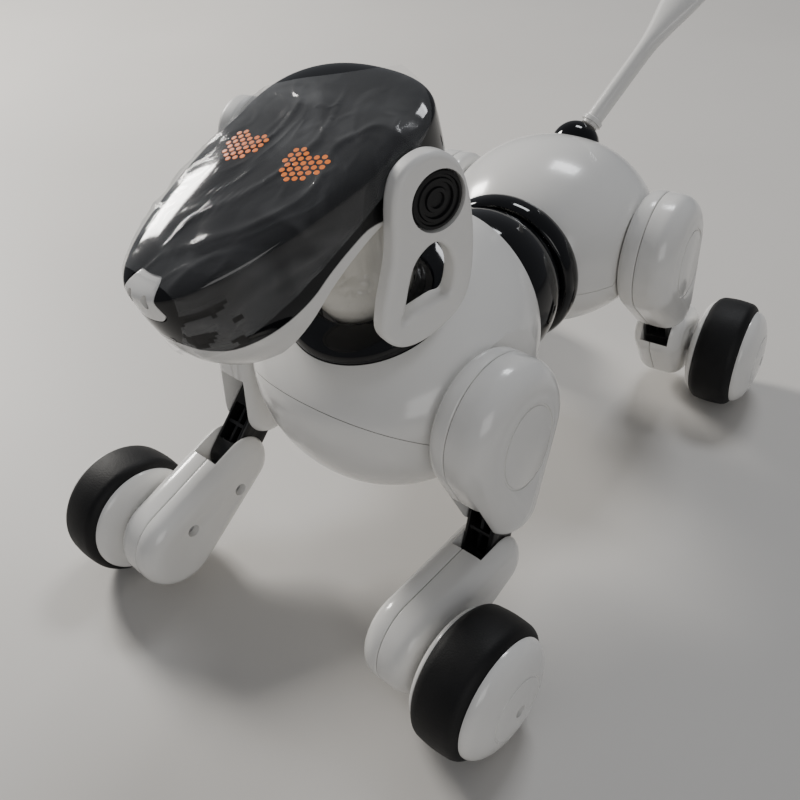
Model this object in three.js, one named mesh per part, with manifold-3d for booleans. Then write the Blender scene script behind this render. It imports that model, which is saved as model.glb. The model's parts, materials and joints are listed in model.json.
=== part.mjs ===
// A robot dog toy on four driven wheels. Millimetres, +Z up, the dog looks along -Y and its left is +X.
// The origin is at the centre of the bounding box's bottom, on the ground under the dog.
import * as THREE from 'three';
import { mergeVertices } from 'three/addons/utils/BufferGeometryUtils.js';
import Module from 'manifold-3d';

const wasm = await Module();
wasm.setup();

// ---------------------------------------------------------------- driving dimensions
const GAP = 0.3;                   // clearance between neighbours that stay put
const RUN = 0.6;                   // clearance where one piece turns in another
const WALL = 2.4;                  // moulded shell wall
const FAR = 400;                   // reach of a cutting tool past the part

const WHEEL_RADIUS = 26;
const TYRE_WIDTH = 19.7;
const TYRE_SHOULDER = 4.5;         // radius of the tyre's rounded shoulders
const RIM_RADIUS = 22.6;           // where the hub domes meet the rubber
const DRUM_RADIUS = RIM_RADIUS - 3; // drum under the tyre
const DOME_HEIGHT = 8;             // how far a hub dome stands out of the tyre
const INNER_DOME_HEIGHT = 5.4;
const AXLE_RADIUS = 4;

const LEG_PLANE = 54.3;            // a front leg's middle plane, from the dog's middle
const REAR_LEG_PLANE = 51.2;
const WHEEL_OFFSET = 27.8;         // wheel's middle plane outboard of the leg's
const THIGH_TOP_RADIUS = 26;
const THIGH_END_RADIUS = 13;
const THIGH_LENGTH = 34;           // hip axis to the middle of the thigh's round end
const THIGH_INBOARD = 9.5;         // leg plane to the thigh's inner face
const THIGH_OUTBOARD = 14;         // leg plane to its outer face
const THIGH_INNER_EDGE = 5;        // rounding of its inner rim
const THIGH_OUTER_EDGE = 10;       // and of its outer rim
const THIGH_SEAM = -1.5;           // where its two shells meet, from the leg plane
const LINK_LENGTH = 27;            // thigh's end to the knee axis
const LINK_BEND = 20;              // degrees that a front link leans forward from its thigh
const REAR_LINK_BEND = 0;
const LINK_WIDTH = 12.4;
const LINK_RADIUS = 7;
const LINK_PIN = 2.6;
const SLOT_WIDTH = 13.2;           // the slots that hold the link
const SHIN_LENGTH = 41;            // knee axis to wheel axis, front
const REAR_SHIN_LENGTH = 20;
const SHIN_KNEE_RADIUS = 12;
const SHIN_FOOT_RADIUS = 18;
const SHIN_HALF_WIDTH = 11.5;
const SHIN_EDGE = 7.5;
const SHIN_SEAM = -2;              // where its two shells meet
const SHIN_NOTCH = 7.8;            // the slot's floor below the knee axis
const SHIN_POCKET_RADIUS = 9;      // round the gearmotor at the foot
const THIGH_POCKET_RADIUS = 20;    // and at the hip
const HIP_BOSS_RADIUS = 14;
const HIP_BOSS_LENGTH = 5;

const HIP_FRONT = { y: 46, z: 94 };            // hip axis in the front body's frame
const WHEEL_FRONT_LEFT_Y = 0;
const WHEEL_FRONT_RIGHT_Y = -24.7;
const WAIST_Y = 107.8;                         // vertical waist axis, behind the front wheels
const WAIST_TURN = 8.65;                       // degrees that the rear half is turned at rest
const HIP_REAR = { y: 68, z: 94 };             // measured from the waist axis, in the rear half's frame
const WHEEL_REAR_Y = 109;

const CHEST = { tip: 5, middle: 50, rim: 97, reach: 70.5, height: 97 };
const CHEST_HALF_WIDTH = 51;
const CHEST_DEPTH = 48;            // below the chest's middle line
const CHEST_RISE = 18.6;           // above it, at y = 0
const CHEST_RISE_SLOPE = 0.36;
const CHEST_SEAM = { y: 5, z: 104, slope: 0.56 };

const NECK = { y: 46, z: 128, tilt: 25 };      // collar's centre, and its tilt forward in degrees
const COLLAR_RADIUS = 31.3;
const COLLAR_HOLE = 19.2;
const COLLAR_HEIGHT = 6;           // dome above the collar's middle plane
const COLLAR_SEAT = 4;             // and its seat below it
const NECK_WELL_RADIUS = 16;       // hole in the seat under the neck ball
const NECK_LIFT = 6;               // neck ball's centre above that plane
const NECK_RADIUS = 17.6;
const NOD = { y: 41, z: 166 };                 // the nodding axis
const NOD_RADIUS = 17;

const HEAD = { y: 31.6, z: 188, pitch: 17.2 };  // origin and forward pitch of the head's own frame
const HEAD_HALF_WIDTH = 32.5;
const HEAD_FRONT = 75.7;
const HEAD_BACK = 31.3;
const HEAD_CROWN = 6;
const HEAD_DEPTH = 53;
const HEAD_TAPER = 0.165 / 60;     // width gained per millimetre towards the back
const HEAD_BELT = 0.74;            // powers of the rounded box
const HEAD_PLAN = 0.83;
const HEAD_UNDERSIDE = 14;         // below the head's middle plane
const JAW_BOTTOM = 38;
const BASE_THICKNESS = 3;
const SOCKET_LIP = 2.5;            // socket's rim above the nodding axis
const NOSE = { halfWidth: 8.5, back: -60, bottom: -6.5, top: 2.4, nostril: 1.7, spacing: 3.8 };
const EYES = { halfWidth: 24, from: -32, to: -3, thickness: 1.6 };
const VISOR_WALL = 2.2;

const EAR_HUB = { x: 38.4, y: 0.7, z: -12.8 };  // in the head's frame
const EAR_TOE = 14;                             // degrees that an ear's outer face turns forward
const EAR_THICKNESS = 7;
const EAR_EDGE = 1.5;
const EAR_HUB_RADIUS = 8.8;
const EAR_HUB_RECESS = 0.6;        // hub's face below the ear's
const EAR_SHAFT_RADIUS = 4;
const EAR_SHAFT = 13;              // length inboard of the ear's middle plane

const RUMP = { rim: 28, middle: 67, reachFront: 52, reachBack: 47, height: 94 };
const RUMP_HALF_WIDTH = 48;
const RUMP_TOP = 41;
const RUMP_BOTTOM = 38;
const RUMP_SEAM = 88;              // height of the seam between its two shells
const RIM_BORE = 24;
const RIM_DEPTH = 11;              // black rim ring ahead of the rump's front edge
const RIM_BULGE = 2.4;
const WAIST_RADIUS = 33;
const BULKHEAD = { front: 8, back: 4 };         // ahead of the chest's rim
const TAIL_BASE = { y: 91, z: 124.5 };
const TAIL_BALL_RADIUS = 11;
const TAIL_LEAN = 45;              // degrees above the horizontal
const TAIL_SWING = 18;             // degrees towards the dog's left at rest
const TAIL_LENGTH = 104;
const TAIL_ROOT_RADIUS = 3.9;
const TAIL_PADDLE_RADIUS = 10;
const TAIL_PADDLE_THICKNESS = 8;

const BATTERY = { halfWidth: 19, from: 34, to: 70, floor: 60, top: 76 };
const DOOR = { halfWidth: 10, from: 42, to: 62, face: 49.8 };
const CRADLE = { from: 11, to: 16, inset: 4 };  // ribs that carry the battery, beside its door
const BOARD_HALF_WIDTH = 22;
const BOARD_MARGIN = 3;
const BOARD_THICKNESS = 1.6;
const SPEAKER_RADIUS = 14;
const SPEAKER_RIM = 4;
const SPEAKER_HEIGHT = 6;
const SPEAKER_Y = 45;
const SWITCH = { y: 73, halfWidth: 2.5, halfLength: 2.5, travel: 4, face: 50.6, flange: 57.4, lip: 3 };
const SERVO = { halfWidth: 8, length: 20, height: 18 };
const NECK_SERVO_TOP = 112;
const PORT = { radius: 5, y: 98, length: 12, z: 78, wallFrom: 100, wallTo: 120 };

const SEGMENTS = 20;               // round a full turn
const rad = THREE.MathUtils.degToRad;

// ---------------------------------------------------------------- materials
const finish = (color, roughness) => new THREE.MeshStandardMaterial({ color, roughness });
const WHITE = () => finish(0xeceae4, 0.22);
const BLACK = () => finish(0x0b0c10, 0.12);
const SATIN_BLACK = () => finish(0x101114, 0.4);
const RUBBER = () => finish(0x0d0d0e, 0.75);
const BOARD = () => finish(0x14502c, 0.5);
const CELL = () => finish(0x2a5db0, 0.4);

// ---------------------------------------------------------------- solids
function solid(geometry) {
  const plain = geometry.index ? geometry.toNonIndexed() : geometry.clone();
  plain.deleteAttribute('normal');
  plain.deleteAttribute('uv');
  const merged = mergeVertices(plain, 1e-3);
  const corners = merged.index.array;
  const triVerts = [];
  for (let i = 0; i < corners.length; i += 3) {
    const [a, b, c] = [corners[i], corners[i + 1], corners[i + 2]];
    if (a !== b && b !== c && c !== a) triVerts.push(a, b, c);
  }
  return new wasm.Manifold(new wasm.Mesh({
    numProp: 3,
    vertProperties: merged.attributes.position.array,
    triVerts: new Uint32Array(triVerts),
  }));
}

function geometryOf(manifold) {
  const mesh = manifold.getMesh();
  const geometry = new THREE.BufferGeometry();
  geometry.setAttribute('position', new THREE.BufferAttribute(mesh.vertProperties, 3));
  geometry.setIndex(new THREE.BufferAttribute(mesh.triVerts, 1));
  const flat = geometry.toNonIndexed();
  flat.computeVertexNormals();
  return flat;
}

const cut = (body, ...tools) =>
  geometryOf(tools.reduce((rest, tool) => rest.subtract(solid(tool)), solid(body)));
const join = (body, ...others) =>
  geometryOf(others.reduce((sum, other) => sum.add(solid(other)), solid(body)));
const common = (body, tool) => geometryOf(solid(body).intersect(solid(tool)));

const boxAt = (x0, x1, y0, y1, z0, z1) =>
  new THREE.BoxGeometry(x1 - x0, y1 - y0, z1 - z0)
    .translate((x0 + x1) / 2, (y0 + y1) / 2, (z0 + z1) / 2);
const rodX = (radius, x0, x1, segments = SEGMENTS) =>
  new THREE.CylinderGeometry(radius, radius, x1 - x0, segments)
    .rotateZ(-Math.PI / 2)
    .translate((x0 + x1) / 2, 0, 0);
const rodZ = (radius, z0, z1, segments = SEGMENTS) =>
  new THREE.CylinderGeometry(radius, radius, z1 - z0, segments)
    .rotateX(Math.PI / 2)
    .translate(0, 0, (z0 + z1) / 2);
const ball = (radius, y, z, segments = SEGMENTS) =>
  new THREE.SphereGeometry(radius, segments, segments / 2).translate(0, y, z);
const turned = (profile, segments = SEGMENTS) =>
  new THREE.LatheGeometry(profile.map(([r, h]) => new THREE.Vector2(r, h)), segments);
const arc = (radius, middle, height, from, to, steps) =>
  Array.from({ length: steps + 1 }, (_, i) => {
    const angle = rad(from + (to - from) * i / steps);
    return [middle + radius * Math.cos(angle), height + radius * Math.sin(angle)];
  });

// A side view outline of points (y, z), extruded across x from x0 to x1.
const slabX = (outline, x0, x1) =>
  new THREE.ExtrudeGeometry(outline, { depth: x1 - x0, bevelEnabled: false, curveSegments: 10 })
    .rotateZ(Math.PI / 2).rotateY(Math.PI / 2).translate(x0, 0, 0);

// Two circles and their common tangents: the first at the origin, the second a distance below it.
function taperedOutline(topRadius, endRadius, distance, inset = 0) {
  const top = topRadius - inset;
  const end = endRadius - inset;
  const lean = Math.asin((top - end) / distance);
  const shape = new THREE.Shape();
  shape.absarc(0, 0, top, -lean, Math.PI + lean, false);
  shape.absarc(0, -distance, end, Math.PI + lean, 2 * Math.PI - lean, false);
  shape.closePath();
  return shape;
}

// That outline as a plate across x, with rims rounded by a radius.
function pod(topRadius, endRadius, distance, x0, x1, edge, steps = 2) {
  return new THREE.ExtrudeGeometry(taperedOutline(topRadius, endRadius, distance, edge), {
    depth: x1 - x0 - 2 * edge,
    bevelThickness: edge,
    bevelSize: edge,
    bevelSegments: steps,
    curveSegments: 4,
  }).rotateX(Math.PI / 2).rotateZ(Math.PI / 2).translate(x0 + edge, 0, 0);
}

function piece(name, geometry, material, parent) {
  const mesh = new THREE.Mesh(geometry, material);
  mesh.name = name;
  parent.add(mesh);
}

function frameAt(parent, x, y, z) {
  const group = new THREE.Group();
  group.position.set(x, y, z);
  parent.add(group);
  return group;
}

// ---------------------------------------------------------------- a leg
// Built for the front left: outboard is +X, the knee folds the foot towards -Y.
// The knee's place below the hip, and the two angles that put the wheel's axle at a place below
// and ahead of the hip.
function legPose({ linkBend, shinLength }, ahead, below) {
  const knee = {
    y: -LINK_LENGTH * Math.sin(rad(linkBend)),
    z: -THIGH_LENGTH - LINK_LENGTH * Math.cos(rad(linkBend)),
  };
  const upper = Math.hypot(knee.y, knee.z);
  const upperLean = Math.atan2(-knee.y, -knee.z);
  const reach = Math.hypot(ahead, below);
  const atHip = Math.acos((upper ** 2 + reach ** 2 - shinLength ** 2) / (2 * upper * reach));
  const atKnee = Math.acos((upper ** 2 + shinLength ** 2 - reach ** 2) / (2 * upper * shinLength));
  return {
    knee,
    thigh: Math.atan2(ahead, below) - atHip - upperLean,
    shin: upperLean + Math.PI - atKnee,
  };
}

function thighShells() {
  const full = (edge, x0, x1) => pod(THIGH_TOP_RADIUS, THIGH_END_RADIUS, THIGH_LENGTH, x0, x1, edge);
  const half = SLOT_WIDTH / 2;
  const slot = boxAt(-half, half, -FAR, LINK_RADIUS + 1, -FAR, LINK_RADIUS + 4 - THIGH_LENGTH);
  const motorPocket = rodX(THIGH_POCKET_RADIUS, WALL - THIGH_INBOARD, THIGH_OUTBOARD - WALL - 1, 12);
  const pinHole = rodX(LINK_PIN + GAP, 0, THIGH_OUTBOARD - 3, 8).translate(0, 0, -THIGH_LENGTH);
  const inner = join(
    cut(full(THIGH_INNER_EDGE, -THIGH_INBOARD, 2 * THIGH_OUTBOARD),
      boxAt(THIGH_SEAM, FAR, -FAR, FAR, -FAR, FAR), slot, motorPocket),
    rodX(HIP_BOSS_RADIUS, -THIGH_INBOARD - HIP_BOSS_LENGTH, -THIGH_INBOARD + 1),
    rodX(LINK_PIN, -half - 1, THIGH_OUTBOARD - 5, 8).translate(0, 0, -THIGH_LENGTH),
  );
  const outer = cut(full(THIGH_OUTER_EDGE, -2 * THIGH_OUTBOARD, THIGH_OUTBOARD),
    boxAt(-FAR, THIGH_SEAM + GAP, -FAR, FAR, -FAR, FAR), slot, motorPocket, pinHole);
  return { inner, outer };
}

function kneeLink() {
  const bar = pod(LINK_RADIUS, LINK_RADIUS - 0.01, LINK_LENGTH, -LINK_WIDTH / 2, LINK_WIDTH / 2, 1.2, 1);
  const bore = rodX(LINK_PIN + 2 * GAP, -LINK_WIDTH, LINK_WIDTH, 8);
  return cut(bar, bore, bore.clone().translate(0, 0, -LINK_LENGTH));
}

function shinShells(length) {
  const full = pod(
    SHIN_KNEE_RADIUS, SHIN_FOOT_RADIUS, length, -SHIN_HALF_WIDTH, SHIN_HALF_WIDTH, SHIN_EDGE,
  );
  const half = SLOT_WIDTH / 2;
  const slot = join(
    rodX(LINK_RADIUS + RUN, -half, half),
    boxAt(-half, half, -FAR, LINK_RADIUS + RUN, -SHIN_NOTCH, FAR),
  );
  const motorPocket = rodX(SHIN_POCKET_RADIUS, WALL - SHIN_HALF_WIDTH, SHIN_HALF_WIDTH - WALL)
    .translate(0, 0, -length);
  const pinHole = rodX(LINK_PIN + GAP, 0, SHIN_HALF_WIDTH - 2, 8);
  const inner = join(
    cut(full, boxAt(SHIN_SEAM, FAR, -FAR, FAR, -FAR, FAR), slot, motorPocket),
    rodX(LINK_PIN, -half - 1, SHIN_HALF_WIDTH - 3, 8),
  );
  const axle = rodX(AXLE_RADIUS, SHIN_HALF_WIDTH - 1, WHEEL_OFFSET - 2, 12).translate(0, 0, -length);
  const outer = join(
    cut(full, boxAt(-FAR, SHIN_SEAM + GAP, -FAR, FAR, -FAR, FAR), slot, motorPocket, pinHole),
    axle,
  );
  return { inner, outer };
}

// A wheel turns about X. Its middle plane is at x = 0 and outboard is +X.
const wheelTurn = (profile) => turned(profile).rotateZ(-Math.PI / 2);
const dome = (radius, base, height, steps) =>
  Array.from({ length: steps + 1 }, (_, i) => {
    const angle = Math.PI / 2 * i / steps;
    return [radius * Math.cos(angle), base + height * Math.sin(angle)];
  });

function tyre() {
  const side = TYRE_WIDTH / 2;
  const shoulder = WHEEL_RADIUS - TYRE_SHOULDER;
  return wheelTurn([
    [DRUM_RADIUS, -side],
    ...arc(TYRE_SHOULDER, shoulder, TYRE_SHOULDER - side, -90, 0, 2),
    ...arc(TYRE_SHOULDER, shoulder, side - TYRE_SHOULDER, 0, 90, 2),
    [DRUM_RADIUS, side],
    [DRUM_RADIUS, -side],
  ]);
}

function hubOuter() {
  const face = TYRE_WIDTH / 2 + GAP;
  const drum = DRUM_RADIUS - GAP;
  return wheelTurn([
    [0, face + DOME_HEIGHT - WALL],
    ...dome(drum - WALL, face - 1, DOME_HEIGHT - WALL + 1, 2).slice(0, -1).reverse(),
    [drum - WALL, GAP / 2],
    [drum, GAP / 2],
    [drum, face],
    ...dome(RIM_RADIUS, face, DOME_HEIGHT, 3).slice(0, -1),
    [0, face + DOME_HEIGHT],
  ]);
}

function hubInner() {
  const face = TYRE_WIDTH / 2 + GAP;
  const drum = DRUM_RADIUS - GAP;
  const bore = AXLE_RADIUS + RUN;
  const bulge = dome(RIM_RADIUS, face, INNER_DOME_HEIGHT, 3)
    .filter(([radius]) => radius > bore)
    .map(([radius, height]) => [radius, -height])
    .reverse();
  return wheelTurn([
    [bore, -GAP / 2],
    [bore, -face - INNER_DOME_HEIGHT],
    ...bulge,
    [drum, -face],
    [drum, -GAP / 2],
    [bore, -GAP / 2],
  ]);
}

// The same pieces serve all four legs. A rear leg folds the other way and has a shorter shin.
function addLeg(body, name, build, wheelY, side) {
  const { hip, legPlane, linkBend, shinLength, fold } = build;
  const leg = frameAt(body, side * legPlane, hip.y, hip.z);
  leg.scale.set(side, fold, 1);
  const pose = legPose(build, (hip.y - wheelY) * fold, hip.z - WHEEL_RADIUS);
  const thigh = frameAt(leg, 0, 0, 0);
  thigh.rotation.x = -pose.thigh;
  const thighs = thighShells();
  piece(`thigh_outer_${name}`, thighs.outer, WHITE(), thigh);
  piece(`thigh_inner_${name}`, thighs.inner, WHITE(), thigh);
  const link = frameAt(thigh, 0, 0, -THIGH_LENGTH);
  link.rotation.x = -rad(linkBend);
  piece(`knee_link_${name}`, kneeLink(), SATIN_BLACK(), link);
  const shin = frameAt(thigh, 0, pose.knee.y, pose.knee.z);
  shin.rotation.x = -pose.shin;
  const shins = shinShells(shinLength);
  piece(`shin_outer_${name}`, shins.outer, WHITE(), shin);
  piece(`shin_inner_${name}`, shins.inner, WHITE(), shin);
  const wheel = frameAt(shin, WHEEL_OFFSET, 0, -shinLength);
  piece(`tyre_${name}`, tyre(), RUBBER(), wheel);
  piece(`hub_outer_${name}`, hubOuter(), WHITE(), wheel);
  piece(`hub_inner_${name}`, hubInner(), WHITE(), wheel);
}

// ---------------------------------------------------------------- egg-shaped bodies
// A closed egg along Y with elliptical sections. Its height above the middle line is a function of y.
function egg({ from, middle, to, front, back, halfWidth, rise, drop, height }, inset = 0) {
  const rings = 8;
  const start = Math.asin(Math.max(-1, (from - middle) / (front - inset)));
  const end = Math.asin(Math.min(1, (to - middle) / (back - inset)));
  const profile = Array.from({ length: rings + 1 }, (_, i) => {
    const angle = start + (end - start) * i / rings;
    const reach = (angle < 0 ? front : back) - inset;
    return [Math.cos(angle) < 1e-6 ? 0 : Math.cos(angle), middle + reach * Math.sin(angle)];
  });
  if (profile[0][0] > 0) profile.unshift([0, profile[0][1]]);
  if (profile.at(-1)[0] > 0) profile.push([0, profile.at(-1)[1]]);
  const body = turned(profile);
  const place = body.attributes.position;
  for (let i = 0; i < place.count; i += 1) {
    const [x, y, z] = [place.getX(i), place.getY(i), place.getZ(i)];
    const reach = (z > 0 ? rise(y) : drop) - inset;
    place.setXYZ(i, x * (halfWidth - inset), y, height + z * reach);
  }
  return body;
}

const chestForm = {
  from: CHEST.tip,
  middle: CHEST.middle,
  to: CHEST.rim,
  front: CHEST.middle - CHEST.tip,
  back: CHEST.reach,
  halfWidth: CHEST_HALF_WIDTH,
  rise: (y) => CHEST_RISE + CHEST_RISE_SLOPE * y,
  drop: CHEST_DEPTH,
  height: CHEST.height,
};
const rumpForm = {
  from: RUMP.rim,
  middle: RUMP.middle,
  to: RUMP.middle + RUMP.reachBack,
  front: RUMP.reachFront,
  back: RUMP.reachBack,
  halfWidth: RUMP_HALF_WIDTH,
  rise: () => RUMP_TOP,
  drop: RUMP_BOTTOM,
  height: RUMP.height,
};

// A shell with flat hips and a hip opening on each side.
function hippedShell(outer, inner, hip, flat) {
  const opening = rodX(HIP_BOSS_RADIUS + RUN, -FAR, FAR).translate(0, hip.y, hip.z);
  return cut(
    common(outer, boxAt(-flat, flat, -FAR, FAR, -FAR, FAR)),
    common(inner, boxAt(WALL - flat, flat - WALL, -FAR, FAR, -FAR, FAR)),
    opening,
  );
}

const dog = new THREE.Group();

// ---------------------------------------------------------------- chest and what it holds
const collarFrame = frameAt(dog, 0, NECK.y, NECK.z);
collarFrame.rotation.x = rad(NECK.tilt);
const alongCollar = (geometry) => geometry.rotateX(rad(NECK.tilt)).translate(0, NECK.y, NECK.z);

const chestFlat = LEG_PLANE - THIGH_INBOARD - GAP;
const chestCavity = egg({ ...chestForm, to: CHEST.rim + 1 }, WALL);
const chestShell = hippedShell(egg(chestForm), chestCavity, HIP_FRONT, chestFlat);
const aboveSeam = (lift) => {
  const drop = FAR * CHEST_SEAM.slope;
  const outline = new THREE.Shape([
    new THREE.Vector2(CHEST_SEAM.y - FAR, CHEST_SEAM.z + drop + lift),
    new THREE.Vector2(CHEST_SEAM.y + FAR, CHEST_SEAM.z - drop + lift),
    new THREE.Vector2(CHEST_SEAM.y + FAR, 2 * FAR),
    new THREE.Vector2(CHEST_SEAM.y - FAR, 2 * FAR),
  ]);
  return slabX(outline, -FAR, FAR);
};

const seatFloor = -COLLAR_SEAT - GAP;
const collarSeat = cut(
  common(egg(chestForm, GAP), alongCollar(rodZ(COLLAR_RADIUS + 2, seatFloor - WALL, seatFloor))),
  alongCollar(rodZ(NECK_WELL_RADIUS, -FAR, FAR)),
);
piece('chest_shell_upper', join(
  cut(common(chestShell, aboveSeam(GAP)), alongCollar(rodZ(COLLAR_RADIUS + GAP, seatFloor, FAR))),
  collarSeat,
), WHITE(), dog);

const doorHole = boxAt(
  -DOOR.halfWidth - GAP, DOOR.halfWidth + GAP, DOOR.from - GAP, DOOR.to + GAP, -FAR, BATTERY.floor,
);
const switchSlot = boxAt(
  -SWITCH.halfWidth - GAP, SWITCH.halfWidth + GAP,
  SWITCH.y - SWITCH.halfLength - GAP, SWITCH.y + SWITCH.halfLength + SWITCH.travel + GAP,
  -FAR, BATTERY.floor,
);
const cradle = (near, far) => common(egg(chestForm, 1), boxAt(
  near, far, BATTERY.from + CRADLE.inset, BATTERY.to - CRADLE.inset, 0, BATTERY.floor - GAP,
));
piece('chest_shell_lower', join(
  cut(chestShell, aboveSeam(0), doorHole, switchSlot),
  cradle(-CRADLE.to, -CRADLE.from),
  cradle(CRADLE.from, CRADLE.to),
), WHITE(), dog);

piece('battery_door', boxAt(
  -DOOR.halfWidth, DOOR.halfWidth, DOOR.from, DOOR.to, DOOR.face, DOOR.face + WALL,
), WHITE(), dog);
piece('battery_pack', boxAt(
  -BATTERY.halfWidth, BATTERY.halfWidth, BATTERY.from, BATTERY.to, BATTERY.floor, BATTERY.top,
), CELL(), dog);
piece('main_board', boxAt(
  -BOARD_HALF_WIDTH, BOARD_HALF_WIDTH, BATTERY.from - BOARD_MARGIN, BATTERY.to + BOARD_MARGIN,
  BATTERY.top + GAP, BATTERY.top + GAP + BOARD_THICKNESS,
), BOARD(), dog);
const speakerSeat = BATTERY.top + BOARD_THICKNESS + 2 * GAP;
piece('speaker', turned([
  [0, 0],
  [SPEAKER_RADIUS, 0],
  [SPEAKER_RADIUS, SPEAKER_RIM],
  [SPEAKER_RADIUS - 3, SPEAKER_HEIGHT],
  [0, SPEAKER_HEIGHT],
]).rotateX(Math.PI / 2).translate(0, SPEAKER_Y, speakerSeat), SATIN_BLACK(), dog);
piece('power_switch', join(
  boxAt(
    -SWITCH.halfWidth, SWITCH.halfWidth, -SWITCH.halfLength, SWITCH.halfLength,
    SWITCH.face, SWITCH.flange + 1,
  ),
  boxAt(
    -SWITCH.halfWidth - SWITCH.lip, SWITCH.halfWidth + SWITCH.lip,
    -SWITCH.halfLength - 2, SWITCH.halfLength + 2,
    SWITCH.flange, SWITCH.flange + 1.6,
  ),
).translate(0, SWITCH.y, 0), SATIN_BLACK(), dog);
const neckServoFront = NECK.y - 2;
piece('neck_servo', boxAt(
  -SERVO.halfWidth, SERVO.halfWidth, neckServoFront, neckServoFront + SERVO.length,
  NECK_SERVO_TOP - SERVO.height, NECK_SERVO_TOP,
), SATIN_BLACK(), dog);

piece('neck_collar', turned([
  [COLLAR_HOLE, -COLLAR_SEAT],
  [COLLAR_RADIUS, -COLLAR_SEAT],
  [COLLAR_RADIUS, 0],
  ...arc(1, 0, 0, 15, 75, 4).map(([across, up]) => [
    COLLAR_HOLE + (COLLAR_RADIUS - COLLAR_HOLE) * across, COLLAR_HEIGHT * up,
  ]),
  [COLLAR_HOLE, COLLAR_HEIGHT],
  [COLLAR_HOLE, -COLLAR_SEAT],
]).rotateX(Math.PI / 2), BLACK(), collarFrame);

// ---------------------------------------------------------------- waist
const waistHeight = CHEST.height;
const bulkhead = common(egg(chestForm, WALL + GAP), boxAt(
  -FAR, FAR, CHEST.rim - BULKHEAD.front, CHEST.rim - BULKHEAD.back, -FAR, FAR,
));
const waistMouth = rodX(WAIST_RADIUS / 2, 0, WAIST_RADIUS + BULKHEAD.front)
  .rotateZ(-Math.PI / 2)
  .translate(0, WAIST_Y, waistHeight);
piece('waist_core', cut(
  join(ball(WAIST_RADIUS, WAIST_Y, waistHeight), bulkhead),
  ball(WAIST_RADIUS - WALL - 1, WAIST_Y, waistHeight, 16),
  waistMouth,
), BLACK(), dog);
piece('waist_servo', boxAt(
  -SERVO.halfWidth, SERVO.halfWidth, WAIST_Y - SERVO.length / 2, WAIST_Y + SERVO.length / 2,
  waistHeight - SERVO.height / 2, waistHeight + SERVO.height / 2,
), SATIN_BLACK(), dog);

// ---------------------------------------------------------------- rear half
const rear = frameAt(dog, 0, WAIST_Y, 0);
rear.rotation.z = rad(WAIST_TURN);
const rumpRimRadius = RUMP_HALF_WIDTH * Math.sqrt(1 - ((RUMP.middle - RUMP.rim) / RUMP.reachFront) ** 2);
const rimMiddle = RUMP.height + (RUMP_TOP - RUMP_BOTTOM) / 2 * rumpRimRadius / RUMP_HALF_WIDTH;
piece('rump_rim', cut(
  turned([
    [RIM_BORE, RUMP.rim - RIM_DEPTH],
    [rumpRimRadius - 1, RUMP.rim - RIM_DEPTH],
    ...arc(1, 0, 0, -60, 60, 4).map(([out, along]) => [
      rumpRimRadius - 1 + RIM_BULGE * out, RUMP.rim - RIM_DEPTH / 2 + along * RIM_DEPTH / 2,
    ]),
    [rumpRimRadius - 1, RUMP.rim - GAP],
    [RIM_BORE, RUMP.rim - GAP],
    [RIM_BORE, RUMP.rim - RIM_DEPTH],
  ]).translate(0, 0, rimMiddle),
  ball(WAIST_RADIUS + RUN, 0, waistHeight),
), BLACK(), rear);

const rumpFlat = REAR_LEG_PLANE - THIGH_INBOARD - GAP;
const rumpCavity = egg({ ...rumpForm, from: RUMP.rim - 1 }, WALL);
const rumpShell = hippedShell(egg(rumpForm), rumpCavity, HIP_REAR, rumpFlat);
const tailSocket = ball(TAIL_BALL_RADIUS + RUN, TAIL_BASE.y, TAIL_BASE.z);
const portHole = rodX(PORT.radius + GAP, PORT.wallFrom, PORT.wallTo, 16)
  .rotateZ(Math.PI / 2)
  .translate(0, 0, PORT.z);
piece('rump_shell_upper', cut(
  rumpShell, boxAt(-FAR, FAR, -FAR, FAR, -FAR, RUMP_SEAM + GAP), tailSocket,
), WHITE(), rear);
piece('rump_shell_lower', cut(
  rumpShell, boxAt(-FAR, FAR, -FAR, FAR, RUMP_SEAM, FAR), portHole,
), WHITE(), rear);
piece('charge_port_cover', rodX(PORT.radius, 0, PORT.length, 16)
  .rotateZ(Math.PI / 2)
  .translate(0, PORT.y, PORT.z), SATIN_BLACK(), rear);
const tailServoBack = TAIL_BASE.y - 4;
const tailServoTop = TAIL_BASE.z - TAIL_BALL_RADIUS - 4;
piece('tail_servo', boxAt(
  -SERVO.halfWidth, SERVO.halfWidth, tailServoBack - SERVO.length, tailServoBack,
  tailServoTop - SERVO.height, tailServoTop,
), SATIN_BLACK(), rear);

// ---------------------------------------------------------------- tail
// Built along +Y, then raised about X and swung about its own upright.
function tailBlade() {
  const steps = 12;
  const ease = (t) => t * t * (3 - 2 * t);
  const outline = Array.from({ length: steps + 1 }, (_, i) => i / steps);
  const blade = turned([[0, 0], ...outline.slice(0, -1).map((t) => [1, t]), [0, 1]], 10);
  const place = blade.attributes.position;
  for (let i = 0; i < place.count; i += 1) {
    const t = place.getY(i);
    const spread = ease(THREE.MathUtils.clamp((t - 0.42) / 0.42, 0, 1));
    const end = t > 0.88 ? Math.sqrt(1 - ((t - 0.88) / 0.12) ** 2) : 1;
    const width = THREE.MathUtils.lerp(TAIL_ROOT_RADIUS, TAIL_PADDLE_RADIUS, spread) * end;
    const thick = THREE.MathUtils.lerp(TAIL_ROOT_RADIUS, TAIL_PADDLE_THICKNESS / 2, spread) * end;
    place.setXYZ(i, place.getX(i) * width, t * (TAIL_LENGTH - TAIL_BALL_RADIUS + 3), place.getZ(i) * thick);
  }
  return blade.translate(0, TAIL_BALL_RADIUS - 3, 0);
}
const tailFrame = frameAt(rear, 0, TAIL_BASE.y, TAIL_BASE.z);
tailFrame.rotation.set(rad(TAIL_LEAN), 0, -rad(TAIL_SWING));
piece('tail_base', ball(TAIL_BALL_RADIUS, 0, 0, 14), BLACK(), tailFrame);
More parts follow.
